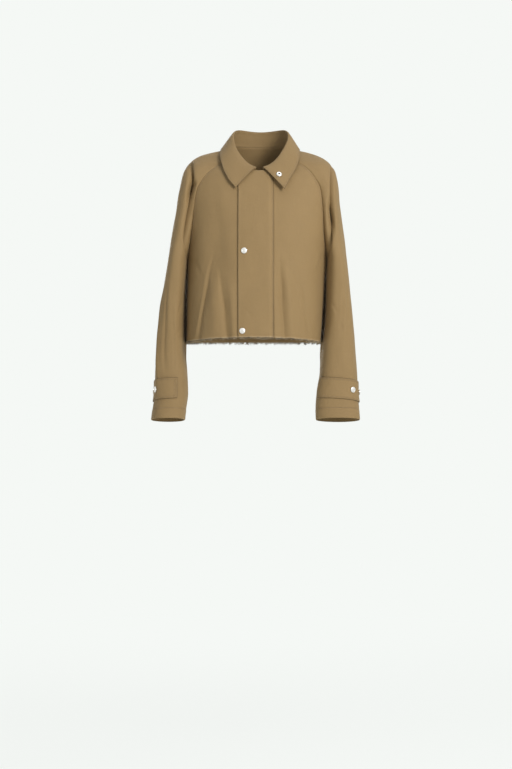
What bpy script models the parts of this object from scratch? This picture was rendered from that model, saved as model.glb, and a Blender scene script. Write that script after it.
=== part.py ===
"""Cropped trench jacket with raglan sleeves, as worn: +Z up, front towards -Y, metres.

The origin lies between the wearer's shoulders, level with the top of the shoulder seam.
Sections of the body and of each sleeve come from short tables, and every panel is a grid
on those sections, thickened inwards. Right and left are the wearer's: the right is at -X.
"""

from math import pi

import bmesh
import bpy
import numpy as np
from mathutils import Vector

# Cloth and seams
CLOTH = 0.0013
DOUBLE_CLOTH = 0.0020
GAP = 0.0003
SEAM_TRIM = 0.0002
ROUNDNESS = 2.3

# Heights
HEM_SIDE = -0.521
HEM_FRONT = -0.512
HEM_BACK = -0.519
UNDERARM = -0.300
UNDERARM_GAP = 0.0007

# Grid density
BODY_ROWS = 7
RAGLAN_ROWS = 12
TUBE_ROWS = 12
FRONT_COLUMNS = 15
BACK_COLUMNS = 12
SLEEVE_COLUMNS = 12
COLLAR_COLUMNS = 36
STAND_ROWS = 2
FALL_ROWS = 5
STRAP_ROWS = 2
SNAP_SIDES = 18

# Neckline, an inclined ring
NECK_HALF_WIDTH = 0.088
NECK_HALF_DEPTH = 0.081
NECK_MIDDLE_Y = -0.0055
NECK_FRONT_Z = -0.060
NECK_RISE = 0.041
NECK_SIDE_RISE = 0.021
NECK_FRONT_SEAM = np.radians(62)
NECK_OVER = np.radians(93)
NECK_BACK_SEAM = np.radians(128)

# Roll line, the top edge of the collar stand
ROLL_HALF_WIDTH = 0.0745
ROLL_HALF_DEPTH = 0.077
ROLL_MIDDLE_Y = -0.010
ROLL_FRONT_Z = -0.054
ROLL_RISE = 0.0575
ROLL_SIDE_RISE = 0.037
COLLAR_START = np.radians(7)
ROLL_LIFT = 0.0012
ROLL_BEND = 0.003
THROAT_BEND = 0.013
LEFT_POINT_LIFT = 0.008
RIGHT_POINT_SHIFT = (0.0060, 0.0, 0.0035)

# Front closure
PLACKET_EDGE = -0.051
PLACKET_SEAM = 0.0422
UNDERLAP_EDGE = 0.028
PLACKET_COLUMNS = 5
PLACKET_LIFT = 0.0042
PLACKET_TOP_DROP = 0.0022

# Snaps
SNAP_RADIUS = 0.008
SNAP_HEIGHT = 0.0030
SNAP_SEAT = 0.0007
RING_RADIUS = 0.0072
RING_HOLE = 0.0024
RING_HEIGHT = 0.0024
RING_FLOOR = 0.0006
FRONT_SNAPS = (("snap_front_upper", -0.0350, -0.278), ("snap_front_lower", -0.0395, -0.488))
COLLAR_SNAP = ("snap_collar", 0.0570, -0.0735)


class Table:
    """Rows of sizes under named columns, read between the rows on a smooth curve."""

    def __init__(self, columns, rows):
        self.columns = columns.split()
        self.rows = np.array(sorted(rows), float)

    def at(self, name, where):
        """The column's value at each place, by a cubic that never overshoots the rows."""
        x = self.rows[:, 0]
        y = self.rows[:, self.columns.index(name)]
        step = np.diff(x)
        slope = np.diff(y) / step
        tangent = np.zeros(len(x))
        for i in range(1, len(x) - 1):
            if slope[i - 1] * slope[i] > 0:
                before = 2 * step[i] + step[i - 1]
                after = step[i] + 2 * step[i - 1]
                tangent[i] = (before + after) / (before / slope[i - 1] + after / slope[i])
        tangent[0] = slope[0]
        tangent[-1] = slope[-1]
        place = np.clip(np.asarray(where, float), x[0], x[-1])
        i = np.clip(np.searchsorted(x, place) - 1, 0, len(x) - 2)
        t = (place - x[i]) / step[i]
        return (
            y[i] * (1 + 2 * t) * (1 - t) ** 2
            + tangent[i] * step[i] * t * (1 - t) ** 2
            + y[i + 1] * t * t * (3 - 2 * t)
            + tangent[i + 1] * step[i] * t * t * (t - 1)
        )


# Level sections of the body: the middle's sideways lean, half width, front and back depth
BODY = Table(
    "z middle half front back",
    [
        (-0.525, -0.0110, 0.1810, 0.150, 0.140),
        (-0.460, -0.0080, 0.1830, 0.150, 0.139),
        (-0.400, -0.0058, 0.1843, 0.148, 0.138),
        (-0.340, -0.0033, 0.1853, 0.145, 0.137),
        (-0.300, -0.0010, 0.1870, 0.142, 0.136),
        (-0.250, 0.0000, 0.1895, 0.138, 0.134),
        (-0.200, 0.0010, 0.1935, 0.132, 0.131),
        (-0.160, 0.0020, 0.1975, 0.124, 0.127),
        (-0.120, 0.0030, 0.2015, 0.113, 0.120),
        (-0.090, 0.0040, 0.2040, 0.100, 0.113),
        (-0.070, 0.0045, 0.2045, 0.089, 0.107),
        (-0.050, 0.0055, 0.1970, 0.073, 0.101),
        (-0.038, 0.0060, 0.1890, 0.062, 0.098),
        (-0.027, 0.0065, 0.1760, 0.053, 0.094),
        (-0.016, 0.0065, 0.1530, 0.044, 0.091),
        (-0.005, 0.0065, 0.1250, 0.034, 0.087),
        (0.010, 0.0075, 0.0950, 0.022, 0.081),
        (0.025, 0.0085, 0.0750, 0.018, 0.075),
        (0.060, 0.0095, 0.0700, 0.018, 0.072),
    ],
)

# Raglan rows from the underarm, 0, to the neck, 1. Seam points lie on the body's sections,
# over is the line along the top of the shoulder and arm, and reach is how far the sleeve's
# front or back crest lies beyond its seam.
RAGLAN = Table(
    "w centre_z seam_x seam_z over_x over_y over_z reach back_x back_z back_reach",
    [
        (0.00, -0.300, 0.1870, -0.300, 0.2415, 0.000, -0.300, 0.089, 0.1870, -0.300, 0.089),
        (0.07, -0.283, 0.1855, -0.283, 0.2393, 0.003, -0.283, 0.062, 0.1824, -0.283, 0.047),
        (0.15, -0.262, 0.1820, -0.262, 0.2365, 0.005, -0.262, 0.043, 0.1780, -0.262, 0.030),
        (0.35, -0.210, 0.1755, -0.210, 0.2290, 0.006, -0.215, 0.021, 0.1700, -0.208, 0.010),
        (0.55, -0.160, 0.1715, -0.158, 0.2195, 0.008, -0.155, 0.010, 0.1610, -0.150, 0.005),
        (0.70, -0.120, 0.1640, -0.108, 0.2125, 0.010, -0.100, 0.004, 0.1490, -0.098, 0.003),
        (0.80, -0.098, 0.1495, -0.080, 0.2045, 0.010, -0.058, 0.002, 0.1330, -0.062, 0.002),
        (0.88, -0.083, 0.1290, -0.054, 0.1810, 0.010, -0.023, 0.002, 0.1130, -0.036, 0.002),
        (0.95, -0.071, 0.1020, -0.034, 0.1340, 0.008, -0.003, 0.001, 0.0900, -0.011, 0.001),
        (1.00, -0.060, 0.0777, -0.021, 0.0879, -0.001, 0.004, 0.001, 0.0693, 0.020, 0.001),
    ],
)

# Sleeve tubes below the underarm: distance out of the seam and the line over the arm, middle
# depth, half depth, for each metre of depth how much lower and further in the back hangs, and
# how square the front of the section is, from 2 for an ellipse
SLEEVES = {
    "right": Table(
        "z inner outer middle_y half_depth droop lean square",
        [
            (-0.300, 0.1880, 0.2425, 0.000, 0.089, 0.00, 0.00, 2.7),
            (-0.330, 0.1905, 0.2475, 0.003, 0.089, 0.01, 0.12, 2.8),
            (-0.400, 0.1945, 0.2580, 0.007, 0.086, 0.03, 0.22, 2.9),
            (-0.470, 0.1960, 0.2655, 0.006, 0.082, 0.05, 0.22, 2.8),
            (-0.540, 0.1965, 0.2720, 0.000, 0.073, 0.08, 0.20, 2.8),
            (-0.600, 0.1885, 0.2760, -0.008, 0.066, 0.10, 0.06, 2.6),
            (-0.650, 0.1855, 0.2765, -0.016, 0.060, 0.11, 0.00, 2.4),
            (-0.690, 0.1900, 0.2812, -0.022, 0.057, 0.12, 0.00, 2.3),
            (-0.723, 0.1940, 0.2850, -0.026, 0.055, 0.12, 0.00, 2.2),
        ],
    ),
    "left": Table(
        "z inner outer middle_y half_depth droop lean square",
        [
            (-0.300, 0.1860, 0.2405, 0.000, 0.089, 0.00, 0.00, 2.7),
            (-0.330, 0.1852, 0.2440, 0.003, 0.089, 0.01, 0.12, 2.9),
            (-0.400, 0.1835, 0.2515, 0.007, 0.086, 0.03, 0.24, 3.1),
            (-0.470, 0.1790, 0.2580, 0.006, 0.081, 0.05, 0.26, 2.8),
            (-0.540, 0.1725, 0.2640, 0.000, 0.070, 0.08, 0.22, 2.8),
            (-0.600, 0.1675, 0.2685, -0.008, 0.059, 0.10, 0.06, 2.6),
            (-0.650, 0.1585, 0.2695, -0.016, 0.050, 0.12, 0.00, 2.4),
            (-0.690, 0.1560, 0.2735, -0.022, 0.045, 0.14, 0.00, 2.3),
            (-0.723, 0.1570, 0.2755, -0.026, 0.042, 0.16, 0.00, 2.2),
        ],
    ),
}
SIDES = {"right": -1, "left": 1}

# How square the front of the sleeve is at the underarm
CAP_SQUARE = 2.7

# Outer edge of the collar's fall, from its point in front to the middle of the back
COLLAR_EDGE = Table(
    "angle x y z",
    [
        (7, 0.0680, -0.1160, -0.114),
        (28, 0.0780, -0.1080, -0.092),
        (48, 0.0975, -0.0830, -0.053),
        (68, 0.1075, -0.0450, -0.015),
        (90, 0.1080, 0.0050, 0.006),
        (105, 0.1040, 0.0340, 0.012),
        (125, 0.0890, 0.0680, 0.014),
        (150, 0.0530, 0.0950, 0.008),
        (180, 0.0000, 0.1040, 0.004),
    ],
)

# Folds, each a line across the front or back view with its half width, height and sign:
# below zero is a trough, above zero a ridge
FRONT_FOLDS = (
    ("right_outer_trough", -0.118, -0.300, -0.164, -0.530, 0.0130, -0.010),
    ("right_inner_trough", -0.098, -0.300, -0.078, -0.530, 0.0120, -0.009),
    ("right_middle_ridge", -0.110, -0.330, -0.120, -0.530, 0.0160, 0.004),
    ("right_placket_ridge", -0.068, -0.340, -0.062, -0.530, 0.0090, 0.003),
    ("right_chest_hollow", -0.116, -0.130, -0.108, -0.320, 0.0300, -0.008),
    ("left_inner_trough", 0.055, -0.270, 0.073, -0.530, 0.0110, -0.006),
    ("left_inner_ridge", 0.072, -0.290, 0.092, -0.530, 0.0120, 0.004),
    ("left_outer_trough", 0.100, -0.330, 0.143, -0.530, 0.0150, -0.008),
)
BACK_FOLDS = (
    ("right_outer_trough", -0.105, -0.110, -0.132, -0.530, 0.0240, -0.010),
    ("left_outer_trough", 0.110, -0.120, 0.126, -0.530, 0.0230, -0.010),
    ("right_inner_trough", -0.030, -0.210, -0.046, -0.530, 0.0220, -0.007),
    ("left_inner_trough", 0.040, -0.230, 0.050, -0.530, 0.0200, -0.006),
    ("middle_ridge", 0.003, -0.250, 0.000, -0.530, 0.0200, 0.003),
)
# Troughs on the sleeve tubes, by angle round the section (front 0, outside 90, back 180)
SLEEVE_FOLDS = (
    ("right", 25, -0.330, 12, -0.600, 9, -0.0040),
    ("right", 62, -0.340, 40, -0.600, 8, 0.0035),
    ("right", 150, -0.340, 125, -0.430, 12, -0.0060),
    ("right", 195, -0.440, 150, -0.520, 12, -0.0050),
    ("left", 35, -0.330, 20, -0.560, 10, -0.0035),
    ("left", 150, -0.350, 120, -0.430, 12, -0.0060),
    ("left", 200, -0.450, 155, -0.530, 12, -0.0050),
)
# The deep fold between arm and chest, as depth along the raglan rows
ARM_FOLD_LINE = {
    "right": Table(
        "z x",
        [
            (-0.300, 0.1890), (-0.238, 0.1880), (-0.210, 0.1850), (-0.181, 0.1805),
            (-0.150, 0.1765), (-0.110, 0.1755), (-0.068, 0.1775), (-0.036, 0.1790),
        ],
    ),
    "left": Table(
        "z x",
        [
            (-0.300, 0.1860), (-0.262, 0.1880), (-0.206, 0.1920), (-0.165, 0.1965),
            (-0.122, 0.1995), (-0.080, 0.2005), (-0.045, 0.2000),
        ],
    ),
}
ARM_FOLD_WIDTH = 0.085
ARM_FOLD = Table(
    "w front back",
    [
        (0.00, 0.000, 0.000),
        (0.12, 0.003, 0.002),
        (0.30, 0.018, 0.010),
        (0.50, 0.026, 0.014),
        (0.68, 0.026, 0.012),
        (0.80, 0.016, 0.005),
        (0.88, 0.004, 0.000),
        (0.93, 0.000, 0.000),
        (1.00, 0.000, 0.000),
    ],
)

# Cuff straps: angles round the sleeve where each starts and ends, and of its two snaps,
# and how much lower each lies on the outside
STRAP_TOP = -0.616
STRAP_BOTTOM = -0.671
STRAP_LIFT = 0.0011
STRAPS = {
    "right": {"start": -20, "end": 132, "snaps": (52, 104), "slant": 0.003},
    "left": {"start": -66, "end": 130, "snaps": (40, 94), "slant": 0.005},
}

# Colours, linear RGB
KHAKI = (0.335, 0.245, 0.120, 1.0)
METAL = (0.80, 0.77, 0.74, 1.0)


def smooth(t):
    """0 to 1 with level ends."""
    t = np.clip(t, 0.0, 1.0)
    return t * t * (3 - 2 * t)


def mix(a, b, t):
    return a + (b - a) * t


def power(value, exponent):
    return np.sign(value) * np.abs(value) ** exponent


def unit(vectors):
    return vectors / np.maximum(np.linalg.norm(vectors, axis=-1, keepdims=True), 1e-12)


def fold_height(folds, x, z):
    """How far the named folds lift the cloth at each point of the front or back view."""
    lift = np.zeros(np.broadcast(x, z).shape)
    for _, x0, z0, x1, z1, width, height in folds:
        along = np.array((x1 - x0, z1 - z0))
        length = np.hypot(*along)
        along = along / length
        t = ((x - x0) * along[0] + (z - z0) * along[1]) / length
        off = (x - x0) * along[1] - (z - z0) * along[0]
        reach = smooth(t / 0.45) * smooth((1.35 - t) / 0.4)
        lift += height * reach * np.exp(-((off / width) ** 2))
    return lift


def body_angle(x, z):
    """Angle on the body's section at which it is x out from its own middle."""
    share = np.clip(np.abs(x) / BODY.at("half", z), 0.0, 1.0)
    return np.sign(x) * np.arcsin(share ** (ROUNDNESS / 2))


def body_points(angle, z, back=False):
    """Points on the body: angle 0 is the centre front or back, 90 degrees the side seam."""
    half = BODY.at("half", z)
    depth = BODY.at("back" if back else "front", z)
    x = half * power(np.sin(angle), 2 / ROUNDNESS)
    y = depth * power(np.cos(angle), 2 / ROUNDNESS) * (1 if back else -1)
    outward = unit(np.stack([x / half**2, y / depth**2, np.zeros_like(x)], axis=-1))
    place = np.stack([x + BODY.at("middle", z), y, z + 0 * x], axis=-1)
    lift = fold_height(BACK_FOLDS if back else FRONT_FOLDS, place[..., 0], place[..., 2])
    return place + outward * (lift * np.cos(angle) ** 2)[..., None]


def ring(angle, half_width, half_depth, middle_y, front_z, rise, side_rise):
    """An inclined ring round the neck: angle 0 in front, 180 degrees at the back."""
    z = front_z + rise * (1 - np.cos(angle)) + side_rise * np.sin(angle) ** 2
    x = half_width * np.sin(angle) + BODY.at("middle", z)
    return np.stack([x, middle_y - half_depth * np.cos(angle), z], axis=-1)


def neckline(angle):
    return ring(
        angle, NECK_HALF_WIDTH, NECK_HALF_DEPTH, NECK_MIDDLE_Y,
        NECK_FRONT_Z, NECK_RISE, NECK_SIDE_RISE,
    )


def roll_line(angle):
    return ring(
        angle, ROLL_HALF_WIDTH, ROLL_HALF_DEPTH, ROLL_MIDDLE_Y,
        ROLL_FRONT_Z, ROLL_RISE, ROLL_SIDE_RISE,
    )


def hem_height(angle, back):
    middle = HEM_BACK if back else HEM_FRONT
    return mix(middle, HEM_SIDE, np.sin(angle) ** 2)


def pull_to_neck(points, w, neck):
    """Eases the rows near the neck onto the neckline ring."""
    weight = smooth((w - 0.70) / 0.30)[:, None, None]
    return points + weight * (neck - points[-1])[None]


def ease_on_body(points, w, neck, back):
    """Eases the rows near the neck onto the neckline, keeping them on the body's surface."""
    moved = pull_to_neck(points, w, neck)
    z = moved[..., 2]
    angle = body_angle(moved[..., 0] - BODY.at("middle", z), z)
    return pull_to_neck(body_points(angle, z, back), w, neck)


def raglan_seam(side, w, back):
    """The seam between a body panel and the sleeve, from the underarm to the neck."""
    prefix = "back_" if back else "seam_"
    z = RAGLAN.at(prefix + "z", w)
    points = body_points(side * body_angle(RAGLAN.at(prefix + "x", w), z), z, back)
    neck = neckline(side * (NECK_BACK_SEAM if back else NECK_FRONT_SEAM))
    return ease_on_body(points[:, None], w, neck[None], back)[:, 0]


def body_panel(side, inner_x, columns, back=False):
    """Grid of a front or the back, from its inner edge out to the side and raglan seams."""
    share = np.linspace(0, 1, columns + 1)[None, :]
    level = mix(HEM_SIDE, UNDERARM, np.linspace(0, 1, BODY_ROWS + 1))[:, None]
    start = body_angle(side * (inner_x - BODY.at("middle", level)), level)
    angle = mix(start, pi / 2, share)
    above_hem = smooth((level - HEM_SIDE) / (UNDERARM - HEM_SIDE))
    z = level + (hem_height(angle, back) - HEM_SIDE) * (1 - above_hem)
    lower = body_points(side * angle, z, back)

    w = np.linspace(0, 1, RAGLAN_ROWS + 1)
    prefix = "back_" if back else "seam_"
    seam_x = RAGLAN.at(prefix + "x", w)[:, None]
    seam_z = RAGLAN.at(prefix + "z", w)[:, None]
    centre_z = RAGLAN.at("centre_z", w)[:, None]
    if back:
        centre_z = mix(UNDERARM, NECK_FRONT_Z + 2 * NECK_RISE, w)[:, None]
    start = body_angle(side * (inner_x - BODY.at("middle", centre_z)), centre_z)
    angle = mix(start, body_angle(seam_x, seam_z), share)
    z = mix(centre_z, seam_z, share**1.6)
    upper = body_points(side * angle, z, back)
    ends = (NECK_FRONT_SEAM, np.arcsin(side * (inner_x - 0.006) / NECK_HALF_WIDTH))
    if back:
        ends = (NECK_BACK_SEAM, pi - ends[1])
    neck = neckline(side * mix(ends[1], ends[0], share[0]))
    upper = ease_on_body(upper, w, neck, back)
    upper[:, -1] = raglan_seam(side, w, back)
    return np.concatenate([lower[:-1], upper])


def arc(seam, over, reach, share, back, square=2.0):
    """Part of an ellipse, or a squarer form, from a seam point to the line over the arm.

    Returns the points, the outward direction at each, and the angle from the crest."""
    way = 1 if back else -1
    drop = np.abs(over[:, 1] - seam[:, 1])
    half_depth = drop + reach
    form = 2 / (np.asarray(square) + np.zeros(len(seam)))
    start = -np.arccos(np.clip(drop / half_depth, 0, 1) ** (1 / form))
    along = (over - seam) / (1 - power(np.sin(start), form))[:, None]
    along[:, 1] = 0
    centre = over - along
    angle = mix(start[:, None], pi / 2, share[None, :])
    form = form[:, None]
    points = centre[:, None] + along[:, None] * power(np.sin(angle), form)[..., None]
    points[..., 1] += way * half_depth[:, None] * power(np.cos(angle), form)
    width = np.linalg.norm(along, axis=1)[:, None, None]
    outward = unit(along)[:, None] * (power(np.sin(angle), 2 - form)[..., None] / width)
    outward[..., 1] += way * power(np.cos(angle), 2 - form) / half_depth[:, None]
    return points, unit(outward), angle


def sleeve_tube(side_name, levels, share, back):
    """Grid of half a sleeve below the underarm, and the outward direction at each point."""
    side, table = SIDES[side_name], SLEEVES[side_name]
    y = table.at("middle_y", levels)
    depth, lean = table.at("half_depth", levels), table.at("lean", levels)
    seam = np.stack([side * table.at("inner", levels), y, levels], axis=-1)
    over = np.stack([side * table.at("outer", levels), y, levels], axis=-1)
    square = 2.0 if back else table.at("square", levels)
    points, outward, angle = arc(seam, over, depth, share, back, square)
    if back:
        points[..., 0] -= side * lean[:, None] * (points[..., 1] - y[:, None])
        outward[..., 1] += side * lean[:, None] * outward[..., 0]
        outward = unit(outward)
    points[..., 2] -= table.at("droop", levels)[:, None] * (points[..., 1] - y[:, None])
    turn = np.degrees(pi - angle if back else angle)
    lift = np.zeros(turn.shape)
    for name, turn0, z0, turn1, z1, width, height in SLEEVE_FOLDS:
        if name == side_name:
            t = (points[..., 2] - z0) / (z1 - z0)
            fade = smooth(t / 0.3) * smooth((1.15 - t) / 0.4)
            lift += height * fade * np.exp(-(((turn - mix(turn0, turn1, t)) / width) ** 2))
    return points + outward * lift[..., None], outward


def sleeve_cap(side_name, w, share, back):
    """Grid of half a sleeve above the underarm, between the raglan seam and the shoulder."""
    side = SIDES[side_name]
    seam = raglan_seam(side, w, back)
    over = np.stack([RAGLAN.at("over_" + axis, w) for axis in "xyz"], axis=-1)
    over[:, 0] = side * over[:, 0] + BODY.at("middle", over[:, 2])
    over = pull_to_neck(over[:, None], w, neckline(side * NECK_OVER)[None])[:, 0]
    reach = RAGLAN.at("back_reach" if back else "reach", w)
    square = 2.0 if back else mix(CAP_SQUARE, 2.0, smooth((w - 0.7) / 0.28))
    points, outward, _ = arc(seam, over, reach, share, back, square)
    depth = ARM_FOLD.at("back" if back else "front", w)[:, None]
    place = mix(0.12, 0.30, smooth(w / 0.45))[:, None]
    if not back:
        lines = ARM_FOLD_LINE[side_name].at("x", (seam[:, 2] + over[:, 2]) / 2)
        rows = zip(lines, side * points[..., 0])
        place = np.array([np.interp(x, row, share) for x, row in rows])[:, None]
    fold = depth * np.exp(-(((share[None] - place) / ARM_FOLD_WIDTH) ** 2))
    fold *= smooth(share / 0.06) * smooth((1 - share) / 0.20)
    points = points - outward * fold[..., None]
    turns = (NECK_BACK_SEAM if back else NECK_FRONT_SEAM, NECK_OVER)
    return pull_to_neck(points, w, neckline(side * mix(turns[0], turns[1], share)))


def sleeve_shares():
    """Places of a sleeve half's columns, from its seam at 0 to the line over the arm at 1."""
    even = np.linspace(0, 1, SLEEVE_COLUMNS + 1)
    return mix(even, even**1.6, 0.55)


def sleeve_panel(side_name, back):
    share = sleeve_shares()
    cuff = SLEEVES[side_name].rows[0, 0]
    levels = mix(cuff, UNDERARM, np.linspace(0, 1, TUBE_ROWS + 1))
    tube, _ = sleeve_tube(side_name, levels, share, back)
    cap = sleeve_cap(side_name, np.linspace(0, 1, RAGLAN_ROWS + 1), share, back)
    return np.concatenate([tube[:-1], cap])


def front_band(start_x, end_x, columns):
    """Grid on the front's surface between two upright lines, from the hem to the neck."""
    share = np.linspace(0, 1, columns + 1)[None, :]
    level = mix(HEM_FRONT, UNDERARM, np.linspace(0, 1, BODY_ROWS + 1))[:, None]
    w = np.linspace(0, 1, RAGLAN_ROWS + 1)
    z = np.concatenate([level[:-1], RAGLAN.at("centre_z", w)[:, None]])
    x = mix(start_x, end_x, share) - BODY.at("middle", z)
    band = body_points(body_angle(x, z), z)
    neck = neckline(np.arcsin((mix(start_x, end_x, share[0]) - 0.006) / NECK_HALF_WIDTH))
    band[BODY_ROWS:] = ease_on_body(band[BODY_ROWS:], w, neck, False)
    return band


def grid_normals(grid, centre):
    """Unit normals of a grid, pointing away from the centre."""
    across = np.gradient(grid, axis=1)
    along = np.gradient(grid, axis=0)
    normals = unit(np.cross(across, along))
    if np.sum(normals * (grid - np.asarray(centre))) < 0:
        normals = -normals
    return normals


def placket_grid():
    """The band over the front opening, raised over the right front's edge."""
    grid = front_band(PLACKET_EDGE, PLACKET_SEAM, PLACKET_COLUMNS)
    normals = grid_normals(grid, (0, 0, -0.3))
    rise = smooth((PLACKET_SEAM - 0.001 - grid[..., 0]) / 0.012)
    grid = grid + normals * mix(0.0007, PLACKET_LIFT, rise)[..., None]
    grid[-1, :, 2] -= PLACKET_TOP_DROP
    return grid


def collar_angles():
    return np.linspace(COLLAR_START, 2 * pi - COLLAR_START, COLLAR_COLUMNS + 1)


def stand_grid():
    turn = collar_angles()
    rows = np.linspace(0, 1, STAND_ROWS + 1)[:, None, None]
    return mix(neckline(turn)[None], roll_line(turn)[None], rows)


def collar_edge(turn):
    """The fall's outer edge at each angle round the neck, point to point."""
    folded = np.degrees(np.where(turn > pi, 2 * pi - turn, turn))
    side = np.where(turn > pi, -1, 1)
    z = COLLAR_EDGE.at("z", folded)
    x = side * COLLAR_EDGE.at("x", folded) + BODY.at("middle", z)
    point = smooth((35 - folded) / 28)
    edge = np.stack([x, COLLAR_EDGE.at("y", folded), z], axis=-1)
    edge[:, 1] -= LEFT_POINT_LIFT * point * (side > 0)
    return edge + (point * (side < 0))[:, None] * RIGHT_POINT_SHIFT


def fall_grid():
    """The collar's fall, rolled over the stand's top edge and down to its outer edge."""
    turn = collar_angles()
    roll = roll_line(turn)
    outward = unit(np.stack([np.sin(turn), -np.cos(turn), 0 * turn], axis=-1))
    top = roll + outward * (DOUBLE_CLOTH + 2 * GAP)
    top[:, 2] += ROLL_LIFT
    edge = collar_edge(turn)
    throat = smooth(1 - np.minimum(turn, 2 * pi - turn) / np.radians(75))
    bend = mix(ROLL_BEND, THROAT_BEND, throat)[:, None]
    bend = top + outward * bend + 0.10 * (edge - top)
    t = np.linspace(0, 1, FALL_ROWS + 1)[:, None, None] ** 1.25
    return (1 - t) ** 2 * top + 2 * t * (1 - t) * bend + t * t * edge


def strap_grid(side_name):
    """The cuff strap, on the sleeve's own columns and moved out."""
    strap = STRAPS[side_name]
    front = -90 + 180 * sleeve_shares()
    inner = np.concatenate([front, 180 - front[-2::-1]])
    inside = inner[(inner > strap["start"] + 3) & (inner < strap["end"] - 3)]
    turn = np.radians(np.concatenate([[strap["start"]], inside, [strap["end"]]]))
    levels = np.linspace(STRAP_BOTTOM, STRAP_TOP, STRAP_ROWS + 1)
    levels = levels[:, None] - strap["slant"] * np.sin(turn)[None]
    points, outward = sleeve_surface(side_name, levels, turn)
    return points + outward * (STRAP_LIFT + DOUBLE_CLOTH)


def sleeve_surface(side_name, levels, turn):
    """Points and outward directions on a sleeve, a column of levels to each angle round it."""
    columns = []
    for j, angle in enumerate(turn):
        back = angle > pi / 2
        share = np.array([((pi - angle if back else angle) + pi / 2) / pi])
        columns.append(sleeve_tube(side_name, levels[:, j], share, back))
    return tuple(np.concatenate([pair[i] for pair in columns], axis=1) for i in (0, 1))


def trim_edge(grid, first, second, distance):
    """Moves one edge of a grid towards its neighbouring line, square to the edge."""
    tangent = unit(np.gradient(grid[first], axis=0))
    inward = grid[second] - grid[first]
    inward = unit(inward - tangent * np.sum(inward * tangent, axis=-1, keepdims=True))
    return inward * distance


def trimmed(grid, edges):
    """A grid cut back by half a seam's gap along the named edges."""
    sides = {
        "bottom": ((0, slice(None)), (1, slice(None))),
        "top": ((-1, slice(None)), (-2, slice(None))),
        "start": ((slice(None), 0), (slice(None), 1)),
        "end": ((slice(None), -1), (slice(None), -2)),
    }
    result = grid.copy()
    for edge in edges:
        first, second = sides[edge]
        result[first] += trim_edge(grid, first, second, GAP / 2 + SEAM_TRIM)
    return result


def new_object(name, vertices, faces, material, collection):
    """A named object from vertices and faces, its faces turned outward."""
    mesh = bpy.data.meshes.new(name)
    shape = bmesh.new()
    made = [shape.verts.new(vertex) for vertex in vertices]
    for face in faces:
        shape.faces.new([made[i] for i in face])
    bmesh.ops.recalc_face_normals(shape, faces=shape.faces)
    bmesh.ops.triangulate(shape, faces=shape.faces)
    shape.to_mesh(mesh)
    shape.free()
    mesh.materials.append(material)
    item = bpy.data.objects.new(name, mesh)
    collection.objects.link(item)
    return item


def panel_object(name, grid, normals, thickness, collection):
    """A closed solid between a grid and the same grid moved inward by the thickness."""
    rows, columns = grid.shape[:2]
    outer = grid.reshape(-1, 3)
    inner = (grid - normals * thickness).reshape(-1, 3)
    shift = rows * columns
    faces = []
    for i in range(rows - 1):
        for j in range(columns - 1):
            a = i * columns + j
            faces.append((a, a + 1, a + columns + 1, a + columns))
            faces.append(tuple(k + shift for k in faces[-1]))
    border = [j for j in range(columns)]
    border += [i * columns + columns - 1 for i in range(1, rows)]
    border += [(rows - 1) * columns + j for j in range(columns - 2, -1, -1)]
    border += [i * columns for i in range(rows - 2, 0, -1)]
    for a, b in zip(border, border[1:] + border[:1]):
        faces.append((a, b, b + shift, a + shift))
    vertices = [tuple(float(v) for v in p) for p in np.concatenate([outer, inner])]
    return new_object(name, vertices, faces, material(name, KHAKI, 0.0, 0.85), collection)


def snap_object(name, centre, axis, profile, collection):
    """A turned snap: a profile of radius and height, top to seat, standing along an axis."""
    mesh = bpy.data.meshes.new(name)
    points = [(radius, 0.0, height) for radius, height in profile]
    mesh.from_pydata(points, [(i, i + 1) for i in range(len(points) - 1)], [])
    mesh.materials.append(material(name, METAL, 1.0, 0.3))
    item = bpy.data.objects.new(name, mesh)
    item.location = Vector(centre)
    item.rotation_mode = "QUATERNION"
    item.rotation_quaternion = Vector(axis).to_track_quat("Z", "Y")
    collection.objects.link(item)
    turned = item.modifiers.new("turned", "SCREW")
    turned.steps = turned.render_steps = SNAP_SIDES
    turned.use_merge_vertices = True
    turned.merge_threshold = 0.00005
    return item


def material(name, colour, metallic, roughness):
    made = bpy.data.materials.new(name)
    made.use_nodes = True
    shader = made.node_tree.nodes["Principled BSDF"]
    shader.inputs["Base Color"].default_value = colour
    shader.inputs["Metallic"].default_value = metallic
    shader.inputs["Roughness"].default_value = roughness
    return made


# Turned profiles of the snaps, radius and height, from the top down to the seat
DOME_SNAP = (
    (0.0, SNAP_HEIGHT * 1.05),
    (SNAP_RADIUS * 0.55, SNAP_HEIGHT),
    (SNAP_RADIUS * 0.88, SNAP_HEIGHT * 0.75),
    (SNAP_RADIUS, SNAP_HEIGHT * 0.30),
    (SNAP_RADIUS * 0.80, 0.0),
    (0.0, 0.0),
)
RING_SNAP = (
    (0.0, RING_FLOOR),
    (RING_HOLE * 0.9, RING_FLOOR),
    (RING_HOLE, RING_HEIGHT * 0.75),
    (RING_RADIUS * 0.72, RING_HEIGHT),
    (RING_RADIUS, RING_HEIGHT * 0.33),
    (RING_RADIUS * 0.85, 0.0),
    (0.0, 0.0),
)


def grid_point(grid, centre, place, axes=(0, 2)):
    """The grid's nearest point to a place, along those axes, and its outward direction."""
    fine = refine(grid, 6)
    normals = grid_normals(fine, centre)
    away = sum((fine[..., k] - place[k]) ** 2 for k in axes)
    i, j = np.unravel_index(np.argmin(away), away.shape)
    return fine[i, j], normals[i, j]


def refine(grid, times):
    """The same grid with straight steps between its lines."""
    for axis in (0, 1):
        count = grid.shape[axis]
        place = np.linspace(0, count - 1, (count - 1) * times + 1)
        low = np.minimum(place.astype(int), count - 2)
        t = (place - low).reshape((-1, 1, 1) if axis == 0 else (1, -1, 1))
        grid = mix(np.take(grid, low, axis), np.take(grid, low + 1, axis), t)
    return grid


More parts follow.
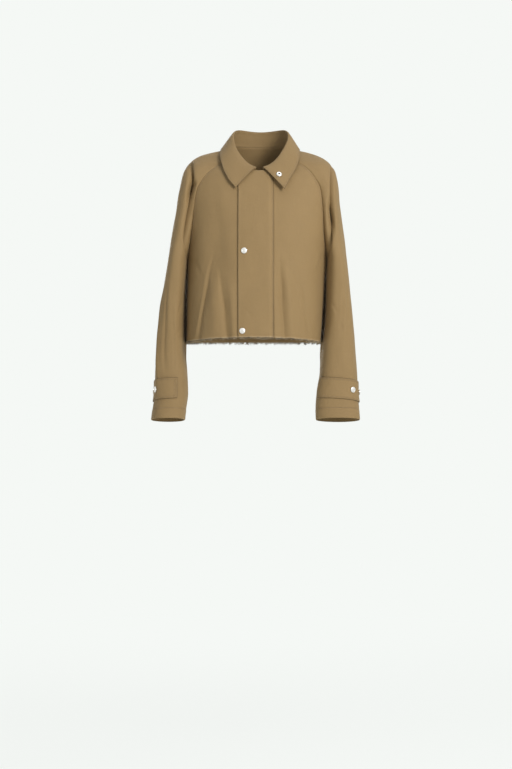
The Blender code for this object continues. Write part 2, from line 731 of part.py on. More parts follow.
def build():
    for item in list(bpy.data.objects):
        bpy.data.objects.remove(item, do_unlink=True)
    jacket = bpy.data.collections.new("trench_jacket")
    bpy.context.scene.collection.children.link(jacket)

    left_half = body_panel(1, 0.0, BACK_COLUMNS, back=True)
    right_half = body_panel(-1, 0.0, BACK_COLUMNS, back=True)
    middle = (0, 0, -0.3)
    grids = {
        "front_right": (body_panel(-1, UNDERLAP_EDGE, FRONT_COLUMNS), middle),
        "front_left": (body_panel(1, PLACKET_SEAM, FRONT_COLUMNS - 3), middle),
        "placket": (placket_grid(), middle),
        "back": (np.concatenate([right_half[:, :0:-1], left_half], axis=1), middle),
    }
    for name, side in SIDES.items():
        for part, back in (("front", False), ("back", True)):
            centre = (side * 0.225, 0.0, -0.45)
            sleeve = sleeve_panel(name, back)
            sleeve[TUBE_ROWS, 0, 0] += side * UNDERARM_GAP
            grids[f"sleeve_{part}_{name}"] = (sleeve, centre)
        centre = (side * 0.225, -0.01, -0.64)
        grids["cuff_strap_" + name] = (strap_grid(name), centre)
    grids["collar_stand"] = (stand_grid(), (0, 0, 0.02))
    grids["collar_fall"] = (fall_grid(), (0, 0, -0.10))
    normals = {name: grid_normals(*pair) for name, pair in grids.items()}
    grids = {name: pair[0] for name, pair in grids.items()}

    def share_normals(a, a_line, b, b_line):
        """Gives two panels one direction of thickness along their seam."""
        both = unit(normals[a][a_line] + normals[b][b_line])
        normals[a][a_line] = both
        normals[b][b_line] = both

    low, high, tube = slice(0, BODY_ROWS + 1), slice(BODY_ROWS, None), slice(0, TUBE_ROWS + 1)
    cap = slice(TUBE_ROWS, None)
    for name, side in SIDES.items():
        front, back = "sleeve_front_" + name, "sleeve_back_" + name
        edge = -1 if side > 0 else 0
        share_normals("front_" + name, (high, -1), front, (cap, 0))
        share_normals("back", (high, edge), back, (cap, 0))
        share_normals("front_" + name, (low, -1), "back", (low, edge))
        share_normals(front, (tube, 0), back, (tube, 0))
        share_normals(front, (slice(None), -1), back, (slice(None), -1))
    trims = {
        "front_right": ("end", "top"),
        "front_left": ("start", "end", "top"),
        "placket": ("end", "top"),
        "back": ("start", "end", "top"),
        "collar_stand": ("bottom",),
    }
    for name, grid in grids.items():
        edges = ("start", "end", "top") if name.startswith("sleeve") else trims.get(name, ())
        thick = CLOTH
        if name in ("placket", "collar_fall") or name.startswith("cuff"):
            thick = DOUBLE_CLOTH
        panel_object(name, trimmed(grid, edges), normals[name], thick, jacket)

    for name, x, z in FRONT_SNAPS:
        centre, axis = grid_point(grids["placket"], middle, (x, 0, z))
        snap_object(name, centre + axis * SNAP_SEAT, axis, DOME_SNAP, jacket)
    name, x, z = COLLAR_SNAP
    centre, axis = grid_point(grids["collar_fall"], (0, 0, -0.10), (x, 0, z))
    snap_object(name, centre + axis * SNAP_SEAT, axis, RING_SNAP, jacket)
    for name, strap in STRAPS.items():
        for place, turn in zip(("front", "outer"), np.radians(strap["snaps"])):
            level = (STRAP_TOP + STRAP_BOTTOM) / 2 - strap["slant"] * np.sin(turn)
            points, _ = sleeve_surface(name, np.array([[level]]), [turn])
            strap_grid_name = "cuff_strap_" + name
            inside = (SIDES[name] * 0.225, -0.01, -0.64)
            centre, axis = grid_point(grids[strap_grid_name], inside, points[0, 0], (0, 1, 2))
            title = f"snap_cuff_{place}_{name}"
            snap_object(title, centre + axis * SNAP_SEAT, axis, DOME_SNAP, jacket)


build()
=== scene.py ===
"""Looks of the cropped trench jacket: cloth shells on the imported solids, with their seams,
stitching, creases, raw hem and snaps. Metres, +Z up, front towards -Y. Right and left are the
wearer's: the right is at -X. Each cloth piece is a grid on tables of sections, moved inwards
for its thickness."""

from math import pi

import bmesh
import bpy
import numpy as np
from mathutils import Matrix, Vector


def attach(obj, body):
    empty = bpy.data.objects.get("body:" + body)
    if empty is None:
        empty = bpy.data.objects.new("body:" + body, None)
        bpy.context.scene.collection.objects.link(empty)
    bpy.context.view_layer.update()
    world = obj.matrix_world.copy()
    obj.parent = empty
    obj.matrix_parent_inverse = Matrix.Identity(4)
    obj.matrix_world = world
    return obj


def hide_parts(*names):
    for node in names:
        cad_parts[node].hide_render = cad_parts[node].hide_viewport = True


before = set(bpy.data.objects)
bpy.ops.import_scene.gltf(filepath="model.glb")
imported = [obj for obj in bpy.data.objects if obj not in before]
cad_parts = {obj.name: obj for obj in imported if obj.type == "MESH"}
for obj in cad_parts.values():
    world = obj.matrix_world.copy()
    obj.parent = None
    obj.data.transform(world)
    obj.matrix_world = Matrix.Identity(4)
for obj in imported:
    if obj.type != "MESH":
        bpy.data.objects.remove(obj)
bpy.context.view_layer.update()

# Cloth
CLOTH = 0.0013
DOUBLE_CLOTH = 0.0020
GAP = 0.0003
SEAM_LAP = 0.0002
ROUNDNESS = 2.3
RAW_FRINGE = 0.0075
THREAD = 0.00034
THREAD_ENDS = 0.00021
TUFTS_PER_METRE = 330
THREADS_PER_METRE = 2200
STITCH = 0.0025
# A distance too large to matter to seams and stitches
FAR = 0.05

# Rows of stitches: distances from the edges
CUFF_TURN = 0.027
RAGLAN_INSET = 0.0055
STRAP_INSET = 0.0045
STRAP_END_INSET = 0.0100
PLACKET_INSET = 0.0038
COLLAR_INSET = 0.0050

# Heights
HEM_SIDE = -0.521
HEM = {"front": -0.512, "back": -0.519}
UNDERARM = -0.300

# Neckline and roll line, inclined rings
NECK = {
    "half_width": 0.088, "half_depth": 0.081, "middle_y": -0.0055,
    "front_z": -0.060, "rise": 0.041, "side_rise": 0.021,
}
NECK_SEAM = {"front": np.radians(62), "back": np.radians(128)}
NECK_OVER = np.radians(93)
ROLL = {
    "half_width": 0.0745, "half_depth": 0.077, "middle_y": -0.010,
    "front_z": -0.054, "rise": 0.0575, "side_rise": 0.037,
}
ROLL_LIFT = 0.0012
ROLL_BEND = 0.003
THROAT_BEND = 0.013
COLLAR_LIP = ((-0.0018, 0.0016), (0.0007, 0.0024))
LEFT_POINT_LIFT = 0.008
RIGHT_POINT_SHIFT = (0.0060, 0.0, 0.0035)
COLLAR_START = np.radians(7)
# How far the neck's middle lies towards the wearer's left
NECK_SHIFT = 0.006

# Front closure
PLACKET_EDGE = -0.051
PLACKET_SEAM = 0.0422
UNDERLAP_EDGE = 0.028
PLACKET_LIFT = 0.0042
PLACKET_TOP_DROP = 0.0022

# Cuff straps
STRAP_TOP = -0.616
STRAP_BOTTOM = -0.671
STRAP_LIFT = 0.0011
STRAPS = {
    "right": {"start": -20, "end": 132, "snaps": (52, 104), "slant": 0.003},
    "left": {"start": -66, "end": 130, "snaps": (40, 94), "slant": 0.005},
}

# Snaps
SNAP_RADIUS = 0.008
SNAP_HEIGHT = 0.0030
RING_RADIUS = 0.0075
RING_HEIGHT = 0.0028
RING_HOLE = 0.0023
SNAP_SIDES = 56
FRONT_SNAPS = (("snap_front_upper", -0.0350, -0.278), ("snap_front_lower", -0.0395, -0.488))
COLLAR_SNAP = ("snap_collar", 0.0570, -0.0735)

# Studio
FLOOR = -1.555
FLOOR_RADIUS = 40.0
FLOOR_SIDES = 96
BACKDROP_RADIUS = 45.0
PALE = (0.913, 0.939, 0.913, 1.0)
FLOOR_DEEP = (0.83, 0.85, 0.83, 1.0)
FLOOR_PALE = (0.86, 0.88, 0.86, 1.0)
AMBIENT = 0.245
LIT_PLACE = (0.0, 0.0, -0.35)
PIXEL = 0.0027
PHOTO_HEIGHT = 769
CAMERA = (-0.004, -4.5, -0.628)
SOFTBOXES = (
    ("key", (2.3, -3.5, 1.1), (1.4, 1.4), 156.0),
    ("fill", (-3.0, -3.0, 0.2), (2.0, 2.0), 8.0),
    ("top", (0.3, -0.4, 2.6), (2.0, 2.0), 20.0),
    ("back", (-0.6, 4.2, 0.8), (2.0, 2.0), 110.0),
)

# Colours
CLOTH_DEEP = (0.224, 0.141, 0.054, 1.0)
CLOTH_PALE = (0.288, 0.186, 0.076, 1.0)
CLOTH_RUBBED = (0.345, 0.235, 0.120, 1.0)
CLOTH_RAGGED = (0.430, 0.315, 0.180, 1.0)
# CLOTH_SHADED is painted shade: the colour that stitch rows and turned edges are darkened towards
CLOTH_SHADED = (0.080, 0.048, 0.018, 1.0)
THREAD_COLOURS = ((0.235, 0.155, 0.072, 1.0), (0.345, 0.240, 0.122, 1.0))
# Frayed threads range from near-black, painted shade standing for the shadow under the hem, to the
# frayed cloth's own pale khaki
FRAYED_AND_SHADE_COLOURS = ((0.030, 0.021, 0.012, 1.0), (0.42, 0.32, 0.18, 1.0))
METAL_DEEP = (0.62, 0.60, 0.575, 1.0)
METAL_PALE = (0.88, 0.86, 0.825, 1.0)
# Painted shade for the inside of the ring snap's hole
METAL_HOLE_SHADE = (0.05, 0.045, 0.04, 1.0)

SIDES = {"right": -1, "left": 1}
WAY = {"front": -1, "back": 1}
RAW_EDGED = ("front_right", "front_left", "placket", "back")
SLEEVE_OUT = 0.225
TRUNK_MIDDLE = (0, 0, -0.3)
COLLAR_MIDDLE = (0, 0, -0.10)


def numbers(text):
    """Rows of numbers from lines of text."""
    return [[float(word) for word in line.split()] for line in text.strip().splitlines()]


class Table:
    """Rows of sizes under named columns, read between the rows on a smooth curve."""

    def __init__(self, columns, rows):
        self.columns = columns.split()
        self.rows = np.array(sorted(numbers(rows) if isinstance(rows, str) else rows), float)

    def at(self, name, where):
        """The column's value at each place, by a cubic that never overshoots the rows."""
        x, y = self.rows[:, 0], self.rows[:, self.columns.index(name)]
        step = np.diff(x)
        slope = np.diff(y) / step
        tangent = np.zeros(len(x))
        tangent[0], tangent[-1] = slope[0], slope[-1]
        for i in range(1, len(x) - 1):
            if slope[i - 1] * slope[i] > 0:
                before = 2 * step[i] + step[i - 1]
                after = step[i] + 2 * step[i - 1]
                tangent[i] = (before + after) / (before / slope[i - 1] + after / slope[i])
        place = np.clip(np.asarray(where, float), x[0], x[-1])
        i = np.clip(np.searchsorted(x, place) - 1, 0, len(x) - 2)
        t = (place - x[i]) / step[i]
        return (
            y[i] * (1 + 2 * t) * (1 - t) ** 2
            + tangent[i] * step[i] * t * (1 - t) ** 2
            + y[i + 1] * t * t * (3 - 2 * t)
            + tangent[i + 1] * step[i] * t * t * (t - 1)
        )


# Level sections of the body: the middle's sideways lean, half width, front and back depth
BODY = Table("z middle half front back", """
    -.525 -.0110 .1810 .150 .140
    -.460 -.0080 .1830 .150 .139
    -.400 -.0058 .1843 .148 .138
    -.340 -.0033 .1853 .145 .137
    -.300 -.0010 .1870 .142 .136
    -.250      0 .1895 .138 .134
    -.200  .0010 .1935 .132 .131
    -.160  .0020 .1975 .124 .127
    -.120  .0030 .2015 .113 .120
    -.090  .0040 .2040 .100 .113
    -.070  .0045 .2045 .089 .107
    -.050  .0055 .1970 .073 .101
    -.038  .0060 .1890 .062 .098
    -.027  .0065 .1760 .053 .094
    -.016  .0065 .1530 .044 .091
    -.005  .0065 .1250 .034 .087
     .010  .0075 .0950 .022 .081
     .025  .0085 .0750 .018 .075
     .060  .0095 .0700 .018 .072
""")

# Raglan rows from the underarm, 0, to the neck, 1. Seam points lie on the body's sections,
# over is the line along the top of the shoulder and arm, and reach is how far the sleeve's
# front or back crest lies beyond its seam.
RAGLAN = Table(
    "w centre_z front_x front_z over_x over_y over_z front_reach back_x back_z back_reach", """
       0 -.300 .1870 -.300 .2415     0 -.300 .089 .1870 -.300 .089
     .07 -.283 .1855 -.283 .2393  .003 -.283 .062 .1824 -.283 .047
     .15 -.262 .1820 -.262 .2365  .005 -.262 .043 .1780 -.262 .030
     .35 -.210 .1755 -.210 .2290  .006 -.215 .021 .1700 -.208 .010
     .55 -.160 .1715 -.158 .2195  .008 -.155 .010 .1610 -.150 .005
     .70 -.120 .1640 -.108 .2125  .010 -.100 .004 .1490 -.098 .003
     .80 -.098 .1495 -.080 .2045  .010 -.058 .002 .1330 -.062 .002
     .88 -.083 .1290 -.054 .1810  .010 -.023 .002 .1130 -.036 .002
     .95 -.071 .1020 -.034 .1340  .008 -.003 .001 .0900 -.011 .001
    1.00 -.060 .0777 -.021 .0879 -.001  .004 .001 .0693  .020 .001
""")

# Sleeve tubes below the underarm: distance out of the seam and the line over the arm, middle
# depth, half depth, for each metre of depth how much lower and further in the back hangs, and
# how square the front of the section is, from 2 for an ellipse
SLEEVES = {
    "right": Table("z inner outer middle_y half_depth droop lean square", """
        -.300 .1880 .2425     0 .089   0   0 2.7
        -.330 .1905 .2475  .003 .089 .01 .12 2.8
        -.400 .1945 .2580  .007 .086 .03 .22 2.9
        -.470 .1960 .2655  .006 .082 .05 .22 2.8
        -.540 .1965 .2720     0 .073 .08 .20 2.8
        -.600 .1885 .2760 -.008 .066 .10 .06 2.6
        -.650 .1855 .2765 -.016 .060 .11   0 2.4
        -.690 .1900 .2812 -.022 .057 .12   0 2.3
        -.723 .1940 .2850 -.026 .055 .12   0 2.2
    """),
    "left": Table("z inner outer middle_y half_depth droop lean square", """
        -.300 .1860 .2405     0 .089   0   0 2.7
        -.330 .1852 .2440  .003 .089 .01 .12 2.9
        -.400 .1835 .2515  .007 .086 .03 .24 3.1
        -.470 .1790 .2580  .006 .081 .05 .26 2.8
        -.540 .1725 .2640     0 .070 .08 .22 2.8
        -.600 .1675 .2685 -.008 .059 .10 .06 2.6
        -.650 .1585 .2695 -.016 .050 .12   0 2.4
        -.690 .1560 .2735 -.022 .045 .14   0 2.3
        -.723 .1570 .2755 -.026 .042 .16   0 2.2
    """),
}

# How square the front of the sleeve is at the underarm
CAP_SQUARE = 2.7

# Outer edge of the collar's fall, from its point in front to the middle of the back
COLLAR_EDGE = Table("angle x y z", """
      7 .0680 -.116 -.114
     28 .0780 -.108 -.092
     48 .0975 -.083 -.053
     68 .1075 -.045 -.015
     90 .1080  .005  .006
    105 .1040  .034  .012
    125 .0890  .068  .014
    150 .0530  .095  .008
    180     0  .104  .004
""")

# Folds, each a line across the front or back view: x and z of its upper and lower end, half
# width, and height, which is below zero for a trough and above zero for a ridge
FOLDS = {
    "front": numbers("""
        -.118 -.30 -.164 -.53 .011 -.0050
        -.098 -.30 -.078 -.53 .012 -.0064
        -.110 -.33 -.120 -.53 .016  .0040
        -.068 -.34 -.062 -.53 .009  .0030
        -.116 -.13 -.108 -.32 .030 -.0080
         .055 -.27  .073 -.53 .011 -.0060
         .072 -.29  .092 -.53 .012  .0040
         .100 -.33  .143 -.53 .015 -.0080
    """),
    "back": numbers("""
        -.105 -.11 -.132 -.53 .024 -.010
         .110 -.12  .126 -.53 .023 -.010
        -.030 -.21 -.046 -.53 .022 -.007
         .040 -.23  .050 -.53 .020 -.006
         .003 -.25     0 -.53 .020  .003
    """),
}
# The same on the sleeve tubes, by angle round the section (front 0, outside 90, back 180)
# and height, with the half width in degrees
SLEEVE_FOLDS = {
    "right": numbers("""
         25 -.33  12 -.60  9 -.0040
         62 -.34  42 -.64 11  .0055
        150 -.34 125 -.43 17 -.0035
        195 -.44 150 -.52 17 -.0030
    """),
    "left": numbers("""
         35 -.33  20 -.56 10 -.0035
        150 -.35 120 -.43 17 -.0035
        200 -.45 155 -.53 17 -.0030
    """),
}
# The deep fold between arm and chest, as depth along the raglan rows, and its sharp core
ARM_FOLD_LINE = {
    "right": Table("z x", """
        -.300 .1890
        -.238 .1880
        -.210 .1850
        -.181 .1805
        -.150 .1765
        -.110 .1755
        -.068 .1775
        -.036 .1790
    """),
    "left": Table("z x", """
        -.300 .1860
        -.262 .1880
        -.206 .1920
        -.165 .1965
        -.122 .1995
        -.080 .2005
        -.045 .2000
    """),
}
ARM_FOLD_WIDTH = 0.085
ARM_FOLD = Table("w front back", """
       0    0    0
     .12 .003 .002
     .30 .018 .010
     .50 .026 .014
     .68 .026 .012
     .80 .016 .005
     .88 .004    0
     .93    0    0
    1.00    0    0
""")
ARM_CORE_WIDTH = 0.026
ARM_CORE = Table("w front back", """
       0    0    0
     .14 .004 .001
     .35 .010 .004
     .60 .012 .005
     .74 .009 .003
     .84 .003 .001
     .92    0    0
    1.00    0    0
""")


def smooth(t):
    """0 to 1 with level ends."""
    t = np.clip(t, 0.0, 1.0)
    return t * t * (3 - 2 * t)


def mix(a, b, t):
    return a + (b - a) * t


def columns_between(count):
    """Places from 0 to 1, closer together towards both ends."""
    even = np.linspace(0, 1, count + 1)
    return mix(even, smooth(even), 0.55)


def power(value, exponent):
    return np.sign(value) * np.abs(value) ** exponent


def unit(vectors):
    return vectors / np.maximum(np.linalg.norm(vectors, axis=-1, keepdims=True), 1e-12)


def beside(line, x, z):
    """How far along a line each point lies, 0 to 1 between its ends, and how far beside it."""
    x0, z0, x1, z1 = line
    length = np.hypot(x1 - x0, z1 - z0)
    way = ((x1 - x0) / length, (z1 - z0) / length)
    t = ((x - x0) * way[0] + (z - z0) * way[1]) / length
    return t, (x - x0) * way[1] - (z - z0) * way[0]


def fold_height(folds, x, z):
    """How far the folds lift the cloth at each point of the front or back view."""
    lift = np.zeros(np.broadcast(x, z).shape)
    for *line, width, height in folds:
        t, off = beside(line, x, z)
        reach = smooth(t / 0.45) * smooth((1.35 - t) / 0.4)
        lift += height * reach * np.exp(-((off / width) ** 2))
    return lift


def body_angle(x, z):
    """Angle on the body's section at which it is x out from its own middle."""
    share = np.clip(np.abs(x) / BODY.at("half", z), 0.0, 1.0)
    return np.sign(x) * np.arcsin(share ** (ROUNDNESS / 2))


def body_points(angle, z, face="front"):
    """Points on the body: angle 0 is the centre front or back, 90 degrees the side seam."""
    half, depth = BODY.at("half", z), BODY.at(face, z)
    x = half * power(np.sin(angle), 2 / ROUNDNESS)
    y = depth * power(np.cos(angle), 2 / ROUNDNESS) * WAY[face]
    outward = unit(np.stack([x / half**2, y / depth**2, np.zeros_like(x)], axis=-1))
    place = np.stack([x + BODY.at("middle", z), y, z + 0 * x], axis=-1)
    lift = fold_height(FOLDS[face], place[..., 0], place[..., 2])
    return place + outward * (lift * np.cos(angle) ** 2)[..., None]


def ring(angle, half_width, half_depth, middle_y, front_z, rise, side_rise):
    """An inclined ring round the neck: angle 0 in front, 180 degrees at the back."""
    z = front_z + rise * (1 - np.cos(angle)) + side_rise * np.sin(angle) ** 2
    x = half_width * np.sin(angle) + BODY.at("middle", z)
    return np.stack([x, middle_y - half_depth * np.cos(angle), z], axis=-1)


def neckline(angle):
    return ring(angle, **NECK)


def roll_line(angle):
    return ring(angle, **ROLL)


def hem_height(angle, face):
    """Where the woven cloth ends: the fringe hangs from there to the solid's own hem."""
    return mix(HEM[face], HEM_SIDE, np.sin(angle) ** 2) + RAW_FRINGE


def pull_to_neck(points, w, neck):
    """Eases the rows near the neck onto the neckline ring."""
    weight = smooth((w - 0.70) / 0.30)[:, None, None]
    return points + weight * (neck - points[-1])[None]


def ease_on_body(points, w, neck, face):
    """Eases the rows near the neck onto the neckline, keeping them on the body's surface."""
    moved = pull_to_neck(points, w, neck)
    z = moved[..., 2]
    angle = body_angle(moved[..., 0] - BODY.at("middle", z), z)
    return pull_to_neck(body_points(angle, z, face), w, neck)


def raglan_seam(side, w, face):
    """The seam between a body panel and the sleeve, from the underarm to the neck."""
    z = RAGLAN.at(face + "_z", w)
    points = body_points(side * body_angle(RAGLAN.at(face + "_x", w), z), z, face)
    neck = neckline(side * NECK_SEAM[face])
    return ease_on_body(points[:, None], w, neck[None], face)[:, 0]


def body_panel(side, inner_x, share, face="front"):
    """Grid of a front or half the back, from its inner edge out to the side and raglan seams."""
    share = share[None, :]

    def inner_angle(z):
        return body_angle(side * (inner_x - BODY.at("middle", z)), z)

    level = mix(HEM_SIDE, UNDERARM, LOW_ROWS)[:, None]
    angle = mix(inner_angle(level), pi / 2, share)
    above_hem = smooth((level - HEM_SIDE) / (UNDERARM - HEM_SIDE))
    z = level + (hem_height(angle, face) - HEM_SIDE) * (1 - above_hem)
    lower = body_points(side * angle, z, face)

    w = CAP_ROWS
    seam_x, seam_z = (RAGLAN.at(face + axis, w)[:, None] for axis in ("_x", "_z"))
    inner_neck = np.arcsin(side * (inner_x - NECK_SHIFT) / NECK["half_width"])
    centre_z = RAGLAN.at("centre_z", w)[:, None]
    if face == "back":
        inner_neck = pi - inner_neck
        centre_z = mix(UNDERARM, NECK["front_z"] + 2 * NECK["rise"], w)[:, None]
    angle = mix(inner_angle(centre_z), body_angle(seam_x, seam_z), share)
    upper = body_points(side * angle, mix(centre_z, seam_z, share**1.6), face)
    neck = neckline(side * mix(inner_neck, NECK_SEAM[face], share[0]))
    upper = ease_on_body(upper, w, neck, face)
    upper[:, -1] = raglan_seam(side, w, face)
    return np.concatenate([lower[:-1], upper])


def arc(seam, over, reach, share, face, square):
    """Part of an ellipse, or a squarer form, from a seam point to the line over the arm.

    Returns the points, the outward direction at each, and the angle from the crest."""
    drop = np.abs(over[:, 1] - seam[:, 1])
    half_depth = drop + reach
    form = 2 / (np.asarray(square) + np.zeros(len(seam)))
    start = -np.arccos(np.clip(drop / half_depth, 0, 1) ** (1 / form))
    along = (over - seam) / (1 - power(np.sin(start), form))[:, None]
    along[:, 1] = 0
    angle = mix(start[:, None], pi / 2, share[None, :])
    form = form[:, None]
    points = (over - along)[:, None] + along[:, None] * power(np.sin(angle), form)[..., None]
    points[..., 1] += WAY[face] * half_depth[:, None] * power(np.cos(angle), form)
    width = np.linalg.norm(along, axis=1)[:, None, None]
    outward = unit(along)[:, None] * (power(np.sin(angle), 2 - form)[..., None] / width)
    outward[..., 1] += WAY[face] * power(np.cos(angle), 2 - form) / half_depth[:, None]
    return points, unit(outward), angle


def sleeve_tube(side_name, levels, share, face):
    """Grid of half a sleeve below the underarm, and the outward direction at each point."""
    side = SIDES[side_name]
    columns = ("inner", "outer", "middle_y", "half_depth", "droop", "lean", "square")
    sizes = (SLEEVES[side_name].at(name, levels) for name in columns)
    inner, outer, y, depth, droop, lean, square = sizes
    seam, over = (np.stack([side * x, y, levels], axis=-1) for x in (inner, outer))
    if face == "back":
        square = 2.0
    points, outward, turn = arc(seam, over, depth, share, face, square)
    if face == "back":
        points[..., 0] -= side * lean[:, None] * (points[..., 1] - y[:, None])
        outward[..., 1] += side * lean[:, None] * outward[..., 0]
        outward = unit(outward)
        turn = pi - turn
    points[..., 2] -= droop[:, None] * (points[..., 1] - y[:, None])
    turn = np.degrees(turn)
    lift = np.zeros(turn.shape)
    for turn0, z0, turn1, z1, width, height in SLEEVE_FOLDS[side_name]:
        t = (points[..., 2] - z0) / (z1 - z0)
        fade = smooth(t / 0.3) * smooth((1.15 - t) / 0.4)
        lift += height * fade * np.exp(-(((turn - mix(turn0, turn1, t)) / width) ** 2))
    return points + outward * lift[..., None], outward


def shoulder_line(side, w):
    """The line along the top of the shoulder and arm."""
    over = np.stack([RAGLAN.at("over_" + axis, w) for axis in "xyz"], axis=-1)
    over[:, 0] = side * over[:, 0] + BODY.at("middle", over[:, 2])
    return pull_to_neck(over[:, None], w, neckline(side * NECK_OVER)[None])[:, 0]


def crest_depth(side, w, face):
    """Depth of the sleeve's crest from the line over the arm, smooth along the rows."""
    rows = np.linspace(0, 1, 13)
    drop = np.abs(shoulder_line(side, rows)[:, 1] - raglan_seam(side, rows, face)[:, 1])
    depth = drop + RAGLAN.at(face + "_reach", rows)
    return Table("w depth", list(zip(rows, depth))).at("depth", w)


def sleeve_cap(side_name, w, share, face):
    """Grid of half a sleeve above the underarm, between the raglan seam and the shoulder."""
    side = SIDES[side_name]
    seam, over = raglan_seam(side, w, face), shoulder_line(side, w)
    drop = np.abs(over[:, 1] - seam[:, 1])
    reach = np.maximum(crest_depth(side, w, face) - drop, 0.0006)
    square = 2.0 if face == "back" else mix(CAP_SQUARE, 2.0, smooth((w - 0.7) / 0.28))
    points, outward, _ = arc(seam, over, reach, share, face, square)
    if face == "back":
        place = mix(0.12, 0.30, smooth(w / 0.45))[:, None]
    else:
        lines = ARM_FOLD_LINE[side_name].at("x", (seam[:, 2] + over[:, 2]) / 2)
        rows = zip(lines, side * points[..., 0])
        place = np.array([np.interp(x, row, share) for x, row in rows])[:, None]
    fold, core = (
        table.at(face, w)[:, None] * np.exp(-(((share[None] - place) / width) ** 2))
        for table, width in ((ARM_FOLD, ARM_FOLD_WIDTH), (ARM_CORE, ARM_CORE_WIDTH))
    )
    fold = fold + core * smooth((1 - share) / 0.45)
    fold *= smooth(share / 0.06) * smooth((1 - share) / 0.20)
    points = points - outward * fold[..., None]
    return pull_to_neck(points, w, neckline(side * mix(NECK_SEAM[face], NECK_OVER, share)))


def eased(grid, share, middle_z, reach):
    """The grid with its rows drawn smooth near a level, except close to its first column."""
    near = 1 - smooth(np.abs(grid[1:-1, -1:, 2] - middle_z) / reach)
    weight = 0.5 * (near * smooth((share[None] - 0.10) / 0.30))[..., None]
    for _ in range(90):
        before = np.linalg.norm(grid[1:-1] - grid[:-2], axis=-1, keepdims=True)
        after = np.linalg.norm(grid[2:] - grid[1:-1], axis=-1, keepdims=True)
        even = mix(grid[:-2], grid[2:], before / np.maximum(before + after, 1e-9))
        grid[1:-1] = mix(grid[1:-1], even, weight)
    return grid


def sleeve_panel(side_name, share, face):
    cuff = SLEEVES[side_name].rows[0, 0]
    tube, _ = sleeve_tube(side_name, mix(cuff, UNDERARM, TUBE_ROWS), share, face)
    cap = sleeve_cap(side_name, CAP_ROWS, share, face)
    return eased(np.concatenate([tube[:-1], cap]), share, UNDERARM, 0.075)


def front_band(start_x, end_x, share):
    """Grid on the front's surface between two upright lines, from the hem to the neck."""
    x = mix(start_x, end_x, share[None, :])
    level = mix(HEM["front"] + RAW_FRINGE, UNDERARM, LOW_ROWS)[:, None]
    z = np.concatenate([level[:-1], RAGLAN.at("centre_z", CAP_ROWS)[:, None]])
    band = body_points(body_angle(x - BODY.at("middle", z), z), z)
    neck = neckline(np.arcsin((x[0] - NECK_SHIFT) / NECK["half_width"]))
    low = len(LOW_ROWS) - 1
    band[low:] = ease_on_body(band[low:], CAP_ROWS, neck, "front")
    return band


def grid_normals(grid, centre):
    """Unit normals of a grid, pointing away from the centre."""
    across = np.gradient(grid, axis=1)
    along = np.gradient(grid, axis=0)
    normals = unit(np.cross(across, along))
    if np.sum(normals * (grid - np.asarray(centre))) < 0:
        normals = -normals
    return normals


def placket_grid():
    """The band over the front opening, raised over the right front's edge."""
    grid = front_band(PLACKET_EDGE, PLACKET_SEAM, columns_between(40))
    normals = grid_normals(grid, TRUNK_MIDDLE)
    rise = smooth((PLACKET_SEAM - 0.001 - grid[..., 0]) / 0.012)
    grid = grid + normals * mix(0.0007, PLACKET_LIFT, rise)[..., None]
    top = smooth((CAP_ROWS - 0.85) / 0.15)
    grid[-len(CAP_ROWS):, :, 2] -= PLACKET_TOP_DROP * top[:, None]
    return grid


def collar_angles():
    return mix(COLLAR_START, 2 * pi - COLLAR_START, columns_between(150))


def stand_grid():
    turn = collar_angles()
    rows = np.linspace(0, 1, 13)[:, None, None]
    return mix(neckline(turn)[None], roll_line(turn)[None], rows)


def collar_edge(turn):
    """The fall's outer edge at each angle round the neck, point to point."""
    folded = np.degrees(np.where(turn > pi, 2 * pi - turn, turn))
    side = np.where(turn > pi, -1, 1)
    z = COLLAR_EDGE.at("z", folded)
    x = side * COLLAR_EDGE.at("x", folded) + BODY.at("middle", z)
    point = smooth((35 - folded) / 28)
    edge = np.stack([x, COLLAR_EDGE.at("y", folded), z], axis=-1)
    edge[:, 1] -= LEFT_POINT_LIFT * point * (side > 0)
    return edge + (point * (side < 0))[:, None] * RIGHT_POINT_SHIFT


def fall_grid():
    """The collar's fall, rolled over the stand's top edge and down to its outer edge."""
    turn = collar_angles()
    roll = roll_line(turn)
    outward = unit(np.stack([np.sin(turn), -np.cos(turn), 0 * turn], axis=-1))
    top = roll + outward * (DOUBLE_CLOTH + 2 * GAP)
    top[:, 2] += ROLL_LIFT
    edge = collar_edge(turn)
    throat = smooth(1 - np.minimum(turn, 2 * pi - turn) / np.radians(75))
    bend = mix(ROLL_BEND, THROAT_BEND, throat)[:, None]
    bend = top + outward * bend + 0.10 * (edge - top)
    t = columns_between(34)[:, None, None] ** 1.1
    fall = (1 - t) ** 2 * top + 2 * t * (1 - t) * bend + t * t * edge
    # The rolled edge covers the top of the stand
    lip = [roll + outward * out + (0, 0, up) for out, up in COLLAR_LIP]
    return np.concatenate([lip, fall])


def strap_grid(side_name):
    """The cuff strap, moved out from the sleeve's own surface."""
    strap = STRAPS[side_name]
    turn = np.radians(mix(strap["start"], strap["end"], columns_between(64)))
    levels = mix(STRAP_BOTTOM, STRAP_TOP, columns_between(20))
    levels = levels[:, None] - strap["slant"] * np.sin(turn)[None]
    points, outward = sleeve_surface(side_name, levels, turn)
    return points + outward * (STRAP_LIFT + DOUBLE_CLOTH)


def sleeve_surface(side_name, levels, turn):
    """Points and outward directions on a sleeve, a column of levels to each angle round it."""
    columns = []
    for j, angle in enumerate(turn):
        face, angle = ("back", pi - angle) if angle > pi / 2 else ("front", angle)
        share = np.array([(angle + pi / 2) / pi])
        columns.append(sleeve_tube(side_name, levels[:, j], share, face))
    return tuple(np.concatenate([pair[i] for pair in columns], axis=1) for i in (0, 1))


